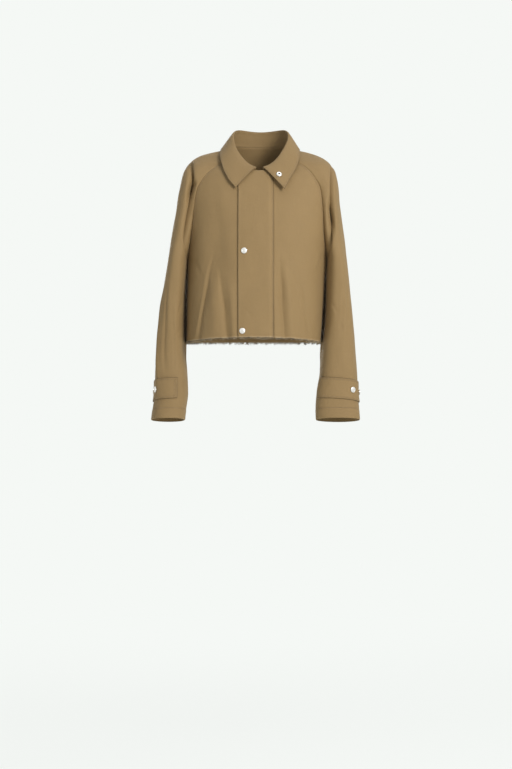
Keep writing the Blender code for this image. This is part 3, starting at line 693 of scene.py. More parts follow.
# Places of the shared rows: trunk below the underarm, raglan above it, sleeve below it
LOW_ROWS = np.concatenate([np.linspace(0, 0.07, 13), np.linspace(0.07, 1, 76)[1:]])
CAP_ROWS = np.linspace(0, 1, 96) ** 1.15
TUBE_ROWS = np.concatenate([np.linspace(0, 0.09, 31), np.linspace(0.09, 1, 112)[1:]])
LOW = slice(0, len(LOW_ROWS))
TUBE = slice(0, len(TUBE_ROWS))
LOW_CAP = slice(len(LOW_ROWS) - 1, None)
TUBE_CAP = slice(len(TUBE_ROWS) - 1, None)
ALL = slice(None)


def waves(points, length, seed):
    """A smooth unevenness between -1 and 1 in space, about one swell to each length."""
    random = np.random.default_rng(seed)
    total = np.zeros(points.shape[:-1])
    for _ in range(7):
        way = unit(random.normal(size=3) * (1.0, 1.0, 0.45))
        turn = 2 * pi * points @ way / (length * random.uniform(0.7, 1.5))
        total += np.sin(turn + random.uniform(0, 2 * pi))
    return total / 4.0


def line_height(lines, u, v, unevenness):
    """Height of sharp creases: each has two ends, a half width and a height."""
    lift = np.zeros(u.shape)
    for *line, width, height in lines:
        t, off = beside(line, u, v)
        off = off + width * 0.9 * unevenness
        fade = smooth(t / 0.35) * smooth((1 - t) / 0.22)
        trough = np.exp(-((off / width) ** 2))
        trough = trough - 0.35 * np.exp(-(((off - 2.2 * width) / width) ** 2))
        lift += height * fade * (1 + 0.35 * unevenness) * trough
    return lift


def spacing(grid, axis):
    """Distance along the grid's lines from its first row or column."""
    steps = np.linalg.norm(np.diff(grid, axis=axis), axis=-1)
    zero = np.zeros_like(np.take(steps, [0], axis))
    return np.cumsum(np.concatenate([zero, steps], axis), axis)


class Panel:
    """A cloth piece: its outer grid, outward directions, and distances from its edges."""

    def __init__(self, name, grid, centre, thickness=CLOTH):
        self.name, self.grid, self.thickness = name, grid, thickness
        self.normals = grid_normals(grid, centre)
        self.across, self.along = spacing(grid, 1), spacing(grid, 0)
        self.edges = {
            "start": self.across,
            "end": self.across[:, -1:] - self.across,
            "bottom": self.along,
            "top": self.along[-1:] - self.along,
        }
        self.seam = np.full(self.across.shape, FAR)
        self.stitched = np.full(self.across.shape, FAR)
        self.rows_of_stitches = []
        sides = np.cross(np.diff(grid, axis=0)[:, 1:], np.diff(grid, axis=1)[1:])
        self.area = float(np.sum(np.linalg.norm(sides, axis=-1)))
        self.flat = (float(self.across[:, -1].max()), float(self.along[-1].max()))

    def away(self, edge, rows=ALL):
        """Distance from an edge, large outside the rows where it is sewn."""
        away = np.full(self.seam.shape, FAR)
        away[rows] = self.edges[edge][rows]
        return away

    def sew(self, *edges):
        """Marks sewn or folded edges."""
        for edge in edges:
            self.seam = np.minimum(self.seam, self.edges[edge])

    def topstitch(self, edge, inset, rows=ALL, clear=()):
        """A row of stitches inside an edge, kept clear of the other edges named."""
        self.rows_of_stitches.append((edge, inset, rows, clear))

    def stitch_path(self, edge, inset, rows, clear):
        """Points and outward directions along a row of stitches."""
        clearance = np.full(self.seam.shape, 1.0)
        for other in clear:
            clearance = np.minimum(clearance, self.edges[other])
        fields = (self.edges[edge], clearance, self.grid, self.normals)
        if edge in ("start", "end"):
            fields = [field[rows] for field in fields]
        else:
            fields = [np.swapaxes(field, 0, 1) for field in fields]
        if edge in ("end", "top"):
            fields = [field[:, ::-1] for field in fields]
        points, outward = [], []
        for away, clearance, grid, normals in zip(*fields):
            if inset < away[-1]:
                j = max(int(np.searchsorted(away, inset)) - 1, 0)
                t = (inset - away[j]) / max(away[j + 1] - away[j], 1e-9)
                if mix(clearance[j], clearance[j + 1], t) >= inset:
                    points.append(mix(grid[j], grid[j + 1], t))
                    outward.append(unit(mix(normals[j], normals[j + 1], t)))
        return np.array(points), np.array(outward)


# Sharp creases along the folds and drag lines from the underarms, in the folds' columns
LINES = {
    "front": numbers("""
        -.110 -.262 -.163 -.530 .0036 -.0042
        -.101 -.300 -.079 -.530 .0032 -.0028
         .057 -.262  .072 -.530 .0032 -.0020
         .080 -.285  .081 -.350 .0034 -.0007
         .106 -.330  .143 -.530 .0034 -.0022
        -.182 -.275 -.150 -.345 .0060 -.0010
         .180 -.272  .156 -.335 .0060 -.0009
        -.034 -.424 -.016 -.447 .0030 -.0010
    """),
    "back": numbers("""
        -.108 -.150 -.131 -.530 .0048 -.0020
         .112 -.165  .125 -.530 .0048 -.0018
        -.034 -.260 -.045 -.530 .0042 -.0014
         .042 -.275  .049 -.530 .0042 -.0013
        -.172 -.270 -.128 -.335 .0050 -.0018
         .174 -.268  .134 -.325 .0050 -.0016
        -.078 -.060  .020 -.074 .0060 -.0009
         .150 -.120  .118 -.200 .0060 -.0014
        -.148 -.115 -.120 -.190 .0060 -.0014
    """),
}
# The same on the sleeves, by distance round the section from the front and by height
SLEEVE_LINES = {
    "right": numbers("""
         .030 -.345  .012 -.610 .0042 -.0018
         .118 -.350  .206 -.430 .0095 -.0015
         .150 -.425  .226 -.470 .0090 -.0012
         .095 -.465  .170 -.500 .0085 -.0009
        -.060 -.400 -.004 -.446 .0050 -.0014
        -.050 -.470  .010 -.500 .0050 -.0010
         .200 -.500  .214 -.640 .0050 -.0016
    """),
    "left": numbers("""
         .040 -.340  .022 -.590 .0042 -.0014
         .033 -.420  .030 -.612 .0014 -.0006
         .030 -.668  .030 -.726 .0014 -.0006
         .120 -.345  .204 -.426 .0095 -.0015
         .148 -.430  .228 -.472 .0090 -.0012
         .098 -.470  .176 -.505 .0085 -.0009
        -.058 -.395 -.006 -.440 .0050 -.0013
         .198 -.510  .206 -.640 .0050 -.0015
    """),
}


def cloth_height(points):
    """Unevenness of the worn cloth at points in space."""
    slow = waves(points, 0.105, 3)
    return 0.0013 * slow + 0.0008 * waves(points, 0.042, 11) * (0.6 + 0.4 * slow)


def trunk_height(points, face):
    wobble = waves(points, 0.07, 5)
    return line_height(LINES[face], points[..., 0], points[..., 2], wobble)


def sleeve_height(side_name, points):
    """Sharp creases on a sleeve, read by distance round it from the front."""
    z = np.maximum(points[..., 2], UNDERARM)
    columns = ("inner", "outer", "middle_y", "half_depth", "lean")
    inner, outer, middle_y, depth, lean = (SLEEVES[side_name].at(name, z) for name in columns)
    y = points[..., 1] - middle_y
    x = SIDES[side_name] * points[..., 0] - (inner + outer) / 2 + lean * np.maximum(y, 0)
    turn = np.arctan2(x / ((outer - inner) / 2), -y / depth)
    turn = np.where(turn < -pi / 2, turn + 2 * pi, turn)
    round_it = turn * (0.72 * depth + 0.28 * (outer - inner) / 2)
    wobble = waves(points, 0.06, 7)
    lift = line_height(SLEEVE_LINES[side_name], round_it, points[..., 2], wobble)
    return lift * smooth((UNDERARM + 0.012 - points[..., 2]) / 0.03)


def share_line(a, a_line, b, b_line):
    """Gives two panels one outward direction along their seam."""
    both = unit(a.normals[a_line] + b.normals[b_line])
    a.normals[a_line] = both
    b.normals[b_line] = both


def shape_panels():
    """Every cloth piece by name, in its form before creases."""
    front, half = columns_between(92), columns_between(74)
    right, left = (body_panel(side, 0.0, half, "back") for side in (-1, 1))
    made = [
        ("front_right", body_panel(-1, UNDERLAP_EDGE, front), TRUNK_MIDDLE),
        ("front_left", body_panel(1, PLACKET_SEAM, half), TRUNK_MIDDLE),
        ("placket", placket_grid(), TRUNK_MIDDLE, DOUBLE_CLOTH),
        ("back", np.concatenate([right[:, :0:-1], left], axis=1), TRUNK_MIDDLE),
    ]
    for side_name, side in SIDES.items():
        for part in ("front", "back"):
            grid = sleeve_panel(side_name, columns_between(62), part)
            made.append((f"sleeve_{part}_{side_name}", grid, (side * SLEEVE_OUT, 0.0, -0.45)))
        centre = (side * SLEEVE_OUT, -0.01, -0.64)
        made.append(("cuff_strap_" + side_name, strap_grid(side_name), centre, DOUBLE_CLOTH))
    made.append(("collar_stand", stand_grid(), (0, 0, 0.02)))
    made.append(("collar_fall", fall_grid(), COLLAR_MIDDLE, DOUBLE_CLOTH))
    return {row[0]: Panel(*row) for row in made}


def mark_seams(panels):
    """Joins the panels' outward directions at their seams, and marks seams and stitches."""
    rear = panels["back"]
    upright, level = ("start", "end"), ("bottom", "top")
    for side_name, side in SIDES.items():
        front, back = (panels[f"sleeve_{part}_{side_name}"] for part in ("front", "back"))
        body, strap = panels["front_" + side_name], panels["cuff_strap_" + side_name]
        edge = -1 if side > 0 else 0
        share_line(body, (LOW_CAP, -1), front, (TUBE_CAP, 0))
        share_line(rear, (LOW_CAP, edge), back, (TUBE_CAP, 0))
        share_line(body, (LOW, -1), rear, (LOW, edge))
        share_line(front, (TUBE, 0), back, (TUBE, 0))
        share_line(front, (ALL, -1), back, (ALL, -1))
        for half in (front, back):
            half.sew("start", "end", "bottom")
            half.topstitch("bottom", CUFF_TURN)
        body.sew("start", "end")
        body.topstitch("end", RAGLAN_INSET, LOW_CAP)
        strap.sew(*upright, *level)
        for name in (*upright, *level):
            strap.topstitch(name, STRAP_INSET, clear=level if name in upright else upright)
        strap.topstitch("start", STRAP_END_INSET, clear=level)
    rear.sew("start", "end")
    for name in upright:
        rear.topstitch(name, RAGLAN_INSET, LOW_CAP)
    panels["placket"].sew("start", "end")
    panels["placket"].topstitch("end", PLACKET_INSET)
    fall = panels["collar_fall"]
    fall.sew("start", "end", "top")
    fall.topstitch("top", COLLAR_INSET, clear=upright)
    for name in upright:
        fall.topstitch(name, COLLAR_INSET, clear=("top", "bottom"))
    panels["collar_stand"].sew("bottom", "top")


def crease(name, panel):
    """Moves a panel's surface for its creases, seams, stitches and edges."""
    base = panel.grid
    rise = cloth_height(base)
    if name.startswith(("sleeve", "cuff")):
        rise = rise + sleeve_height(name.rsplit("_", 1)[1], base)
    elif name.startswith("collar"):
        rise = rise * 0.35
    else:
        rise = rise + trunk_height(base, "back" if name == "back" else "front")
    # Seams sink, and the cloth beside them puckers
    sunk = 0.00035 if panel.thickness == DOUBLE_CLOTH else 0.00080
    rise = rise - sunk * np.exp(-((panel.seam / 0.0013) ** 2))
    pucker = waves(base, 0.011, 21) * np.exp(-panel.seam / 0.006)
    rise = rise + 0.00022 * pucker * smooth(panel.seam / 0.001)
    for edge, inset, rows, clear in panel.rows_of_stitches:
        off = panel.away(edge, rows) - inset
        dip = np.exp(-((off / 0.0011) ** 2))
        for other in clear:
            dip = dip * smooth((panel.edges[other] - 0.6 * inset) / (0.4 * inset))
            off = np.where(panel.edges[other] < 0.8 * inset, FAR, off)
        nearer = np.abs(off) < np.abs(panel.stitched)
        panel.stitched = np.where(nearer, off, panel.stitched)
        rise = rise - 0.00028 * dip * (1 + 0.5 * waves(base, 0.009, 31))
    up = panel.edges["bottom"]
    if name.startswith("sleeve"):
        # The turned-up cuff stands a little proud below its stitches
        rise = rise + 0.0005 * smooth((CUFF_TURN + 0.0005 - up) / 0.002)
    if name in RAW_EDGED:
        # A stay stitch draws the cloth in above the raw edge
        ripple = waves(base, 0.016, 41)
        rise = rise + (0.0009 + 0.0007 * ripple) * np.exp(-up / 0.0035)
        rise = rise - 0.0005 * np.exp(-(((up - 0.0062) / 0.0013) ** 2))
    panel.grid = base + panel.normals * rise[..., None]
    if name in RAW_EDGED:
        ragged = waves(base, 0.006, 43) + 0.6 * waves(base, 0.021, 47)
        panel.grid[..., 2] += 0.0009 * ragged * np.exp(-up / 0.0022)


def make_panels():
    """Every cloth piece by name, shaped, sewn and creased."""
    panels = shape_panels()
    mark_seams(panels)
    for name, panel in panels.items():
        crease(name, panel)
    return panels


def placed(name, data, material=None):
    """A new object in the scene, with its material if it has one."""
    if material:
        data.materials.append(material)
    item = bpy.data.objects.new(name, data)
    bpy.context.scene.collection.objects.link(item)
    return item


def mesh_object(name, vertices, faces, material):
    mesh = bpy.data.meshes.new(name)
    mesh.from_pydata(vertices.tolist(), [], faces.tolist())
    mesh.polygons.foreach_set("use_smooth", np.ones(len(mesh.polygons), bool))
    return placed(name, mesh, material)


def pulled(grid, distance):
    """A grid with its border moved inwards, or outwards below zero.

    It moves less than half way to the next line."""
    result = grid.copy()
    for axis in (0, 1):
        for edge, near in ((0, 1), (-1, -2)):
            step = np.take(grid, near, axis) - np.take(grid, edge, axis)
            size = np.linalg.norm(step, axis=-1, keepdims=True)
            move = step * np.minimum(distance / np.maximum(size, 1e-9), 0.45)
            result[(edge, ALL) if axis == 0 else (ALL, edge)] += move
    return result


def shell(panel, material):
    """The panel as a closed thin shell with rounded edges, and its distances for the material."""
    rows, columns = panel.grid.shape[:2]
    count = rows * columns
    rim = pulled(panel.grid, -SEAM_LAP) - panel.normals * panel.thickness / 2
    face = pulled(panel.grid, panel.thickness * 0.32 - SEAM_LAP)
    outer, inner = (side.reshape(-1, 3) for side in (face, face - panel.normals * panel.thickness))
    index = np.arange(count).reshape(rows, columns)
    quads = np.stack([index[:-1, :-1], index[:-1, 1:], index[1:, 1:], index[1:, :-1]], -1)
    quads = quads.reshape(-1, 4)
    border = np.concatenate([index[0, :-1], index[:-1, -1], index[-1, :0:-1], index[:0:-1, 0]])
    after = np.roll(border, -1)
    rim_here = 2 * count + np.arange(len(border))
    rim_after = np.roll(rim_here, -1)
    faces = np.concatenate([
        quads,
        quads[:, ::-1] + count,
        np.stack([rim_here, rim_after, after, border], -1),
        np.stack([count + border, count + after, rim_after, rim_here], -1),
    ])
    middle = quads[len(quads) // 2]
    a, b, c = outer[middle[:3]]
    if np.dot(np.cross(b - a, c - a), panel.normals.reshape(-1, 3)[middle[0]]) < 0:
        faces = faces[:, ::-1]
    vertices = np.concatenate([outer, inner, rim.reshape(-1, 3)[border]])
    item = mesh_object(panel.name + "_cloth", vertices, faces, material)

    def spread(values):
        """A value for each vertex from one for each place of the grid."""
        return np.concatenate([values, values, values[border]])

    raw = panel.edges["bottom"] if panel.name in RAW_EDGED else np.full(count, FAR)
    distances = {"seam": panel.seam, "raw": raw, "stitch": panel.stitched}
    for title, values in distances.items():
        layer = item.data.attributes.new(title + "_distance", "FLOAT", "POINT")
        layer.data.foreach_set("value", spread(values.ravel()))
    cut = spread(np.stack([panel.across.ravel(), panel.along.ravel()], -1))
    layer = item.data.uv_layers.new(name="cut")
    layer.data.foreach_set("uv", cut[faces.ravel()].ravel())
    return item


def run_along(points):
    """Distance of each point along its path."""
    return np.append(0, np.cumsum(np.linalg.norm(np.diff(points, axis=0), axis=1)))


def along_path(points, outward, places):
    """Points and directions at distances along a path."""
    run = run_along(points)
    place, way = (
        np.stack([np.interp(places, run, values[:, k]) for k in range(3)], -1)
        for values in (points, outward)
    )
    return place, unit(way)


def tubes(lines, radii, sides):
    """Closed tubes along many short lines of the same number of points."""
    lines = np.asarray(lines)
    number, steps = lines.shape[:2]
    ahead = unit(np.gradient(lines, axis=1))
    across = unit(np.cross(ahead, np.roll(ahead, 1, axis=-1) + (0.31, 0.17, 0.59)))
    up = np.cross(ahead, across)
    turn = np.arange(sides) * 2 * pi / sides
    ringed = across[:, :, None] * np.cos(turn)[:, None] + up[:, :, None] * np.sin(turn)[:, None]
    vertices = lines[:, :, None] + ringed * np.asarray(radii)[None, :, None, None]
    index = np.arange(number * steps * sides).reshape(number, steps, sides)
    after = np.roll(index, -1, axis=2)
    walls = np.stack([index[:, :-1], after[:, :-1], after[:, 1:], index[:, 1:]], -1)
    return vertices.reshape(-1, 3), walls.reshape(-1, 4)


def stitches(panel, material):
    """Thread dashes along each of the panel's rows of stitches, sunk in the cloth."""
    dashes = []
    for path in panel.rows_of_stitches:
        points, outward = panel.stitch_path(*path)
        if len(points) < 3:
            continue
        starts = np.arange(0.0006, run_along(points)[-1] - STITCH, STITCH * 1.28)
        places = starts[:, None] + STITCH * np.array([0.0, 0.12, 0.5, 0.88, 1.0])
        place, way = along_path(points, outward, places.ravel())
        rise = np.tile([-0.0003, 0.00010, 0.00020, 0.00010, -0.0003], len(starts))
        dashes.append((place + way * rise[:, None]).reshape(-1, 5, 3))
    if not dashes:
        return None
    radii = THREAD * np.array([0.55, 1.0, 1.05, 1.0, 0.55])
    vertices, faces = tubes(np.concatenate(dashes), radii, 6)
    return mesh_object(panel.name + "_stitches", vertices, faces, material)


def fringe(panel, material, seed):
    """Loose threads hanging from a raw edge, most in small tufts."""
    random = np.random.default_rng(seed)
    points, outward = panel.grid[0], panel.normals[0]
    length = run_along(points)[-1]
    tufts = random.uniform(0.001, length - 0.001, int(length * TUFTS_PER_METRE))
    loose = random.uniform(0.001, length - 0.001, int(length * THREADS_PER_METRE))
    number = random.integers(3, 9, len(tufts))
    spread = np.repeat(tufts, number) + random.normal(0, 0.0009, number.sum())
    starts = np.clip(np.concatenate([spread, loose]), 0.0008, length - 0.0008)
    count = len(starts)
    long = np.concatenate([
        np.repeat(random.uniform(0.0035, 0.0088, len(tufts)), number),
        random.uniform(0.0015, 0.0052, len(loose)),
    ])
    long = long * random.uniform(0.75, 1.08, count)
    place, way = along_path(points, outward, starts)
    place = place - way * (panel.thickness * random.uniform(0.1, 0.9, (count, 1)))
    sideways = unit(np.cross(way, (0, 0, 1)))
    lean, puff, bend = (
        random.normal(middle, spread, (count, 1))
        for middle, spread in ((0, 0.32), (0.04, 0.22), (0, 0.30))
    )
    down = np.array([0, 0, -1.0])
    lines = []
    for t in np.linspace(0, 1, 5):
        step = down * t * (1 - 0.12 * t) + sideways * (lean * t + bend * t * t) + way * puff * t
        lines.append(place + down * -0.0012 * (1 - t) + step * long[:, None])
    radii = THREAD_ENDS * np.array([1.0, 1.0, 0.95, 0.8, 0.45])
    vertices, faces = tubes(np.stack(lines, axis=1), radii, 4)
    return mesh_object(panel.name + "_fringe", vertices, faces, material)


class Nodes:
    """Short calls for building a material's nodes."""

    def __init__(self, name):
        self.material = bpy.data.materials.new(name)
        self.material.use_nodes = True
        self.tree = self.material.node_tree
        self.shader = self.tree.nodes["Principled BSDF"]

    def add(self, kind, inputs=(), **settings):
        node = self.tree.nodes.new("ShaderNode" + kind)
        for key, value in settings.items():
            setattr(node, key, value)
        return self.fill(node, inputs)

    def fill(self, node, inputs):
        """Links or sets a node's inputs, named or numbered."""
        for key, value in dict(inputs).items():
            if isinstance(value, bpy.types.NodeSocket):
                self.tree.links.new(value, node.inputs[key])
            else:
                node.inputs[key].default_value = value
        return node

    def shade(self, inputs):
        self.fill(self.shader, inputs)

    def maths(self, operation, a, b=0.0, c=0.0):
        return self.add("Math", {0: a, 1: b, 2: c}, operation=operation).outputs[0]

    def times(self, a, b):
        return self.maths("MULTIPLY", a, b)

    def plus(self, a, b):
        return self.maths("ADD", a, b)

    def mad(self, a, b, c):
        """a times b, plus c."""
        return self.maths("MULTIPLY_ADD", a, b, c)

    def sine(self, value, length):
        """A sine wave of that length."""
        return self.maths("SINE", self.times(value, 2 * pi / length))

    def place(self):
        return self.add("TexCoord").outputs["Object"]

    def split(self, vector):
        return self.add("SeparateXYZ", {0: vector}).outputs

    def stretched(self, vector, *scale):
        return self.add("Mapping", {"Vector": vector, "Scale": scale}).outputs[0]

    def from_axis(self, place):
        """Distance from the object's upright axis."""
        x, y, _ = self.split(place)
        flat = self.add("CombineXYZ", {0: x, 1: y}).outputs[0]
        return self.add("VectorMath", {0: flat}, operation="LENGTH").outputs["Value"]

    def distance(self, name):
        return self.add("Attribute", attribute_name=name + "_distance").outputs["Fac"]

    def noise(self, where, scale, detail=2.0, roughness=0.5):
        values = {"Vector": where, "Scale": scale, "Detail": detail, "Roughness": roughness}
        return self.add("TexNoise", values).outputs["Fac"]

    def ramp(self, value, low, high, first=0.0, last=1.0):
        values = {"Value": value, 1: low, 2: high, 3: first, 4: last}
        return self.add("MapRange", values, interpolation_type="SMOOTHSTEP").outputs[0]

    def blend(self, share, first, second):
        values = {0: share, 6: first, 7: second}
        return self.add("Mix", data_type="RGBA", inputs=values).outputs[2]

    def bump(self, height, distance, strength, normal=None):
        values = {"Height": height, "Distance": distance, "Strength": strength}
        if normal is not None:
            values["Normal"] = normal
        return self.add("Bump", values).outputs[0]

    def cover(self, surface):
        """Makes a shader's output the material's surface."""
        self.fill(self.tree.nodes["Material Output"], {"Surface": surface})


def cloth_material(name, rub=0.28, edge_shade=0.0):
    """Khaki cotton twill: fine diagonal ribs, slubs, soft mottling and rubbed edges."""
    n = Nodes(name)
    cut = n.add("UVMap", uv_map="cut").outputs[0]
    place = n.place()
    seam = n.distance("seam")

    u, v, _ = n.split(cut)
    waver = n.times(n.noise(cut, 260.0), 0.0005)
    ribs = n.sine(n.plus(n.plus(u, n.times(v, 0.62)), waver), 0.00105)
    warp = n.sine(n.plus(u, waver), 0.00052)
    weft = n.sine(n.plus(v, waver), 0.00060)
    weave = n.plus(ribs, n.times(n.times(warp, weft), 0.7))
    long_threads = n.stretched(cut, 900.0, 26.0, 1.0)
    cross_threads = n.stretched(cut, 30.0, 820.0, 1.0)
    slub = n.plus(n.noise(long_threads, 1.0), n.noise(cross_threads, 1.0))
    mottle = n.noise(place, 9.0, 4.0, 0.6)
    cloudy = n.noise(place, 38.0, 4.0, 0.62)
    grain = n.noise(place, 420.0, 3.0, 0.6)

    share = n.mad(mottle, 0.5, n.times(cloudy, 0.28))
    share = n.mad(n.maths("SUBTRACT", slub, 1.0), 0.40, share)
    share = n.mad(weave, 0.050, n.plus(share, 0.10))
    colour = n.blend(share, CLOTH_DEEP, CLOTH_PALE)
    # Edges rub paler, just beside the dark line of the seam
    rubbed = n.times(n.ramp(seam, 0.0022, 0.0006), n.ramp(grain, 0.35, 0.75, 0.05, rub))
    colour = n.blend(rubbed, colour, CLOTH_RUBBED)
    worn = n.ramp(cloudy, 0.3, 0.7, 0.3, 0.8)
    ragged = n.times(n.ramp(n.distance("raw"), 0.0034, 0.0010), worn)
    colour = n.blend(ragged, colour, CLOTH_RAGGED)
    # Painted shade: the cloth is darkened in the rows of stitches, and under the turned edges of
    # straps and collar (all the double-cloth pieces, placket too), where a shadow would fall
    sunk = n.ramp(n.maths("ABSOLUTE", n.distance("stitch")), 0.0016, 0.0003, 0.0, 0.30)
    if edge_shade:
        sunk = n.maths("MAXIMUM", sunk, n.ramp(seam, 0.0020, 0.0004, 0.0, edge_shade))
    colour = n.blend(sunk, colour, CLOTH_SHADED)

    wrinkle = n.noise(place, 55.0, 5.0, 0.55)
    pucker = n.noise(n.stretched(place, 150.0, 150.0, 120.0), 1.0)
    normal = n.bump(wrinkle, 0.0016, 0.60)
    normal = n.bump(n.times(pucker, n.ramp(seam, 0.010, 0.0015)), 0.0009, 0.55, normal)
    normal = n.bump(n.plus(weave, n.times(slub, 1.4)), 0.00007, 0.65, normal)
    n.shade({
        "Base Color": colour,
        "Roughness": n.mad(weave, 0.025, n.mad(cloudy, 0.14, 0.69)),
        "Normal": normal,
        "IOR": 1.45,
        "Sheen Weight": 0.12,
        "Sheen Roughness": 0.45,
        "Sheen Tint": (0.93, 0.80, 0.56, 1.0),
    })
    return n.material


def thread_material(name, deep, pale):
    """Spun thread: fine diagonal ply, and a colour that changes from length to length."""
    n = Nodes(name)
    place = n.place()
    x, y, z = n.split(place)
    ply = n.sine(n.plus(n.plus(x, y), z), 0.0005)
    share = n.mad(ply, 0.12, n.ramp(n.noise(place, 330.0), 0.35, 0.65))
    n.shade({
        "Base Color": n.blend(share, deep, pale),
        "Roughness": n.mad(ply, 0.06, 0.66),
        "Normal": n.bump(ply, 0.00006, 0.6),
        "Sheen Weight": 0.15,
    })
    return n.material


def snap_material(name, hole=0.0):
    """Pale nickel plate with a soft brushed finish, and painted shade in the socket of its hole.
    """
    n = Nodes(name)
    place = n.place()
    fine = n.noise(place, 900.0, 3.0, 0.6)
    patch = n.noise(place, 190.0, 3.0, 0.6)
    share = n.mad(patch, 0.7, n.times(fine, 0.3))
    colour = n.blend(share, METAL_DEEP, METAL_PALE)
    if hole:
        # Painted shade: the metal within the hole's radius is darkened
        out_of_hole_shade = n.ramp(n.from_axis(place), hole * 0.94, hole * 1.10)
        colour = n.blend(out_of_hole_shade, METAL_HOLE_SHADE, colour)
    n.shade({
        "Base Color": colour,
        "Metallic": 1.0,
        "Roughness": n.mad(patch, 0.14, 0.27),
        "Normal": n.bump(fine, 0.00004, 0.35),
    })
    return n.material


# Turned profiles of the snaps, radius and height as shares of the snap's, from the top down
DOME_SNAP = (
    (0.0, 1.03), (0.20, 1.02), (0.45, 1.00), (0.66, 0.97), (0.70, 0.90), (0.74, 0.90),
    (0.78, 0.96), (0.86, 0.88), (0.93, 0.72), (0.98, 0.50), (1.0, 0.32), (0.98, 0.18),
    (0.90, 0.08), (0.80, 0.0),
)
RING_SNAP = (
    (0.0, 0.16), (0.26, 0.16), (0.29, 0.20), (0.31, 0.62), (0.35, 0.84), (0.42, 0.95),
    (0.55, 1.0), (0.68, 0.97), (0.78, 0.86), (0.90, 0.60), (0.98, 0.36), (1.0, 0.24),
    (0.96, 0.12), (0.85, 0.0),
)


def snap(name, centre, axis, profile, radius, height, material):
    """A turned snap, seated on the cloth and standing along its outward direction."""
    mesh = bpy.data.meshes.new(name + "_metal")
    points = [(r * radius, 0.0, h * height) for r, h in profile]
    mesh.from_pydata(points, [(i, i + 1) for i in range(len(points) - 1)], [])
    item = placed(name + "_metal", mesh, material)
    turned = item.modifiers.new("turned", "SCREW")
    turned.steps = turned.render_steps = SNAP_SIDES
    turned.use_merge_vertices = turned.use_smooth_shade = turned.use_normal_calculate = True
    turned.merge_threshold = 0.00001
    item.location = centre
    item.rotation_mode = "QUATERNION"
    item.rotation_quaternion = Vector(axis).to_track_quat("Z", "Y")
    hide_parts(name)
    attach(item, "root")


def nearest(panel, place, axes=(0, 1, 2)):
    """The place moved onto the panel where it is nearest by those axes, and the way outwards."""
    away = sum((panel.grid[..., k] - place[k]) ** 2 for k in axes)
    i, j = np.unravel_index(np.argmin(away), away.shape)
    way = panel.normals[i, j]
    if len(axes) == 3:
        return place + way * np.dot(panel.grid[i, j] - place, way), way
    point = panel.grid[i, j].copy()
    point[list(axes)] = np.asarray(place)[list(axes)]
    return point, way


panels = make_panels()
khaki = cloth_material("khaki_twill")
# The double-cloth pieces get painted shade along their sewn edges
edge_shaded_khaki = cloth_material("khaki_twill_edge_shaded", 0.12, 0.62)
thread = thread_material("khaki_thread", *THREAD_COLOURS)
# The fringe's near-black threads are painted shade under the hem; the pale ones are the cloth's
# own colour
frayed_and_shaded = thread_material("frayed_thread_and_shade", *FRAYED_AND_SHADE_COLOURS)
metal = snap_material("snap_nickel")
for number, (name, panel) in enumerate(panels.items()):
    cloth = shell(panel, edge_shaded_khaki if panel.thickness == DOUBLE_CLOTH else khaki)
    extras = [stitches(panel, thread)]
    if name in RAW_EDGED:
        extras.append(fringe(panel, frayed_and_shaded, 100 + number))
    extras = [item for item in extras if item]
    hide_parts(name)
    for item in [cloth, *extras]:
        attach(item, "root")

for name, x, z in FRONT_SNAPS:
    point, way = nearest(panels["placket"], (x, 0, z), (0, 2))
    snap(name, point, way, DOME_SNAP, SNAP_RADIUS, SNAP_HEIGHT, metal)
name, x, z = COLLAR_SNAP
point, way = nearest(panels["collar_fall"], (x, 0, z), (0, 2))
ring_metal = snap_material("snap_ring", RING_HOLE)
snap(name, point, way, RING_SNAP, RING_RADIUS, RING_HEIGHT, ring_metal)
for side_name, strap in STRAPS.items():
    for place, turn in zip(("front", "outer"), np.radians(strap["snaps"])):
        level = (STRAP_TOP + STRAP_BOTTOM) / 2 - strap["slant"] * np.sin(turn)
        points, _ = sleeve_surface(side_name, np.array([[level]]), [turn])
        point, way = nearest(panels["cuff_strap_" + side_name], points[0, 0])
        name = f"snap_cuff_{place}_{side_name}"
        snap(name, point, way, DOME_SNAP, SNAP_RADIUS, SNAP_HEIGHT, metal)


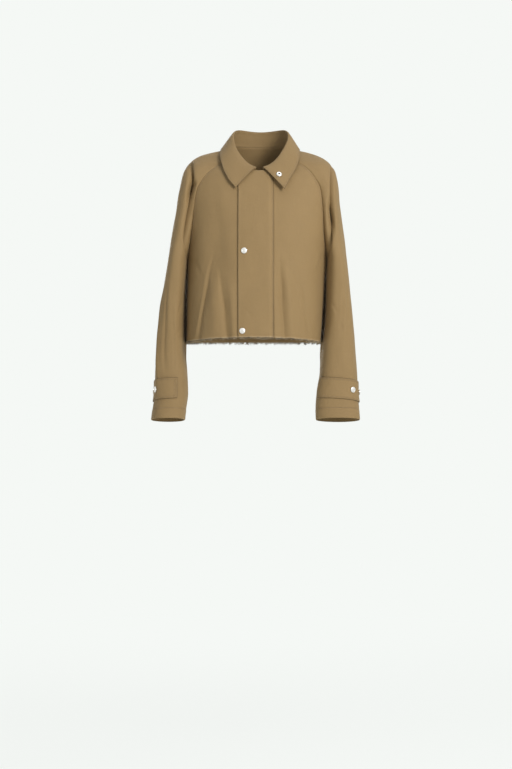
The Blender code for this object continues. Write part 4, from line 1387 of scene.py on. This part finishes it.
def stage():
    """A pale floor that meets a pale background, soft lights and the camera."""
    n = Nodes("pale_floor")
    place = n.place()
    glow = n.ramp(n.from_axis(place), 0.2, 2.2, 0.74, 1.0)
    n.shade({
        "Base Color": n.blend(n.noise(place, 60.0, 3.0), FLOOR_DEEP, FLOOR_PALE),
        "Roughness": 0.9,
    })
    even = n.add("Emission", {"Color": PALE, "Strength": 1.0}).outputs[0]
    n.cover(n.add("MixShader", {0: glow, 1: n.shader.outputs[0], 2: even}).outputs[0])
    turn = np.arange(FLOOR_SIDES) * 2 * pi / FLOOR_SIDES
    rim = np.stack([np.cos(turn), np.sin(turn), 0 * turn], -1) * FLOOR_RADIUS + (0, 0, FLOOR)
    mesh = bpy.data.meshes.new("floor")
    mesh.from_pydata(rim.tolist(), [], [list(range(FLOOR_SIDES))])
    placed("floor", mesh, n.material)

    sky = Nodes("pale_backdrop")
    sky.cover(sky.add("Emission", {"Color": PALE, "Strength": 1.0}).outputs[0])
    mesh = bpy.data.meshes.new("backdrop")
    shape = bmesh.new()
    bmesh.ops.create_uvsphere(shape, u_segments=48, v_segments=24, radius=BACKDROP_RADIUS)
    shape.to_mesh(mesh)
    shape.free()
    backdrop = placed("backdrop", mesh, sky.material)
    backdrop.visible_diffuse = backdrop.visible_shadow = False

    scene = bpy.context.scene
    scene.world = bpy.data.worlds.new("studio")
    scene.world.use_nodes = True
    background = scene.world.node_tree.nodes["Background"].inputs
    background["Color"].default_value = PALE
    background["Strength"].default_value = AMBIENT

    for name, place, size, power_watts in SOFTBOXES:
        light = bpy.data.lights.new(name, "AREA")
        light.shape = "RECTANGLE"
        light.size, light.size_y = size
        light.energy = power_watts
        item = placed(name, light)
        item.location = place
        aim = Vector(LIT_PLACE) - Vector(place)
        item.rotation_mode = "QUATERNION"
        item.rotation_quaternion = aim.to_track_quat("-Z", "Y")

    lens = bpy.data.cameras.new("camera")
    lens.sensor_width = 36.0
    lens.lens = lens.sensor_width * -CAMERA[1] / (PHOTO_HEIGHT * PIXEL)
    scene.camera = placed("camera", lens)
    scene.camera.location = CAMERA
    scene.camera.rotation_euler = (pi / 2, 0.0, 0.0)
    scene.view_settings.view_transform = "Standard"


stage()
bpy.context.view_layer.update()
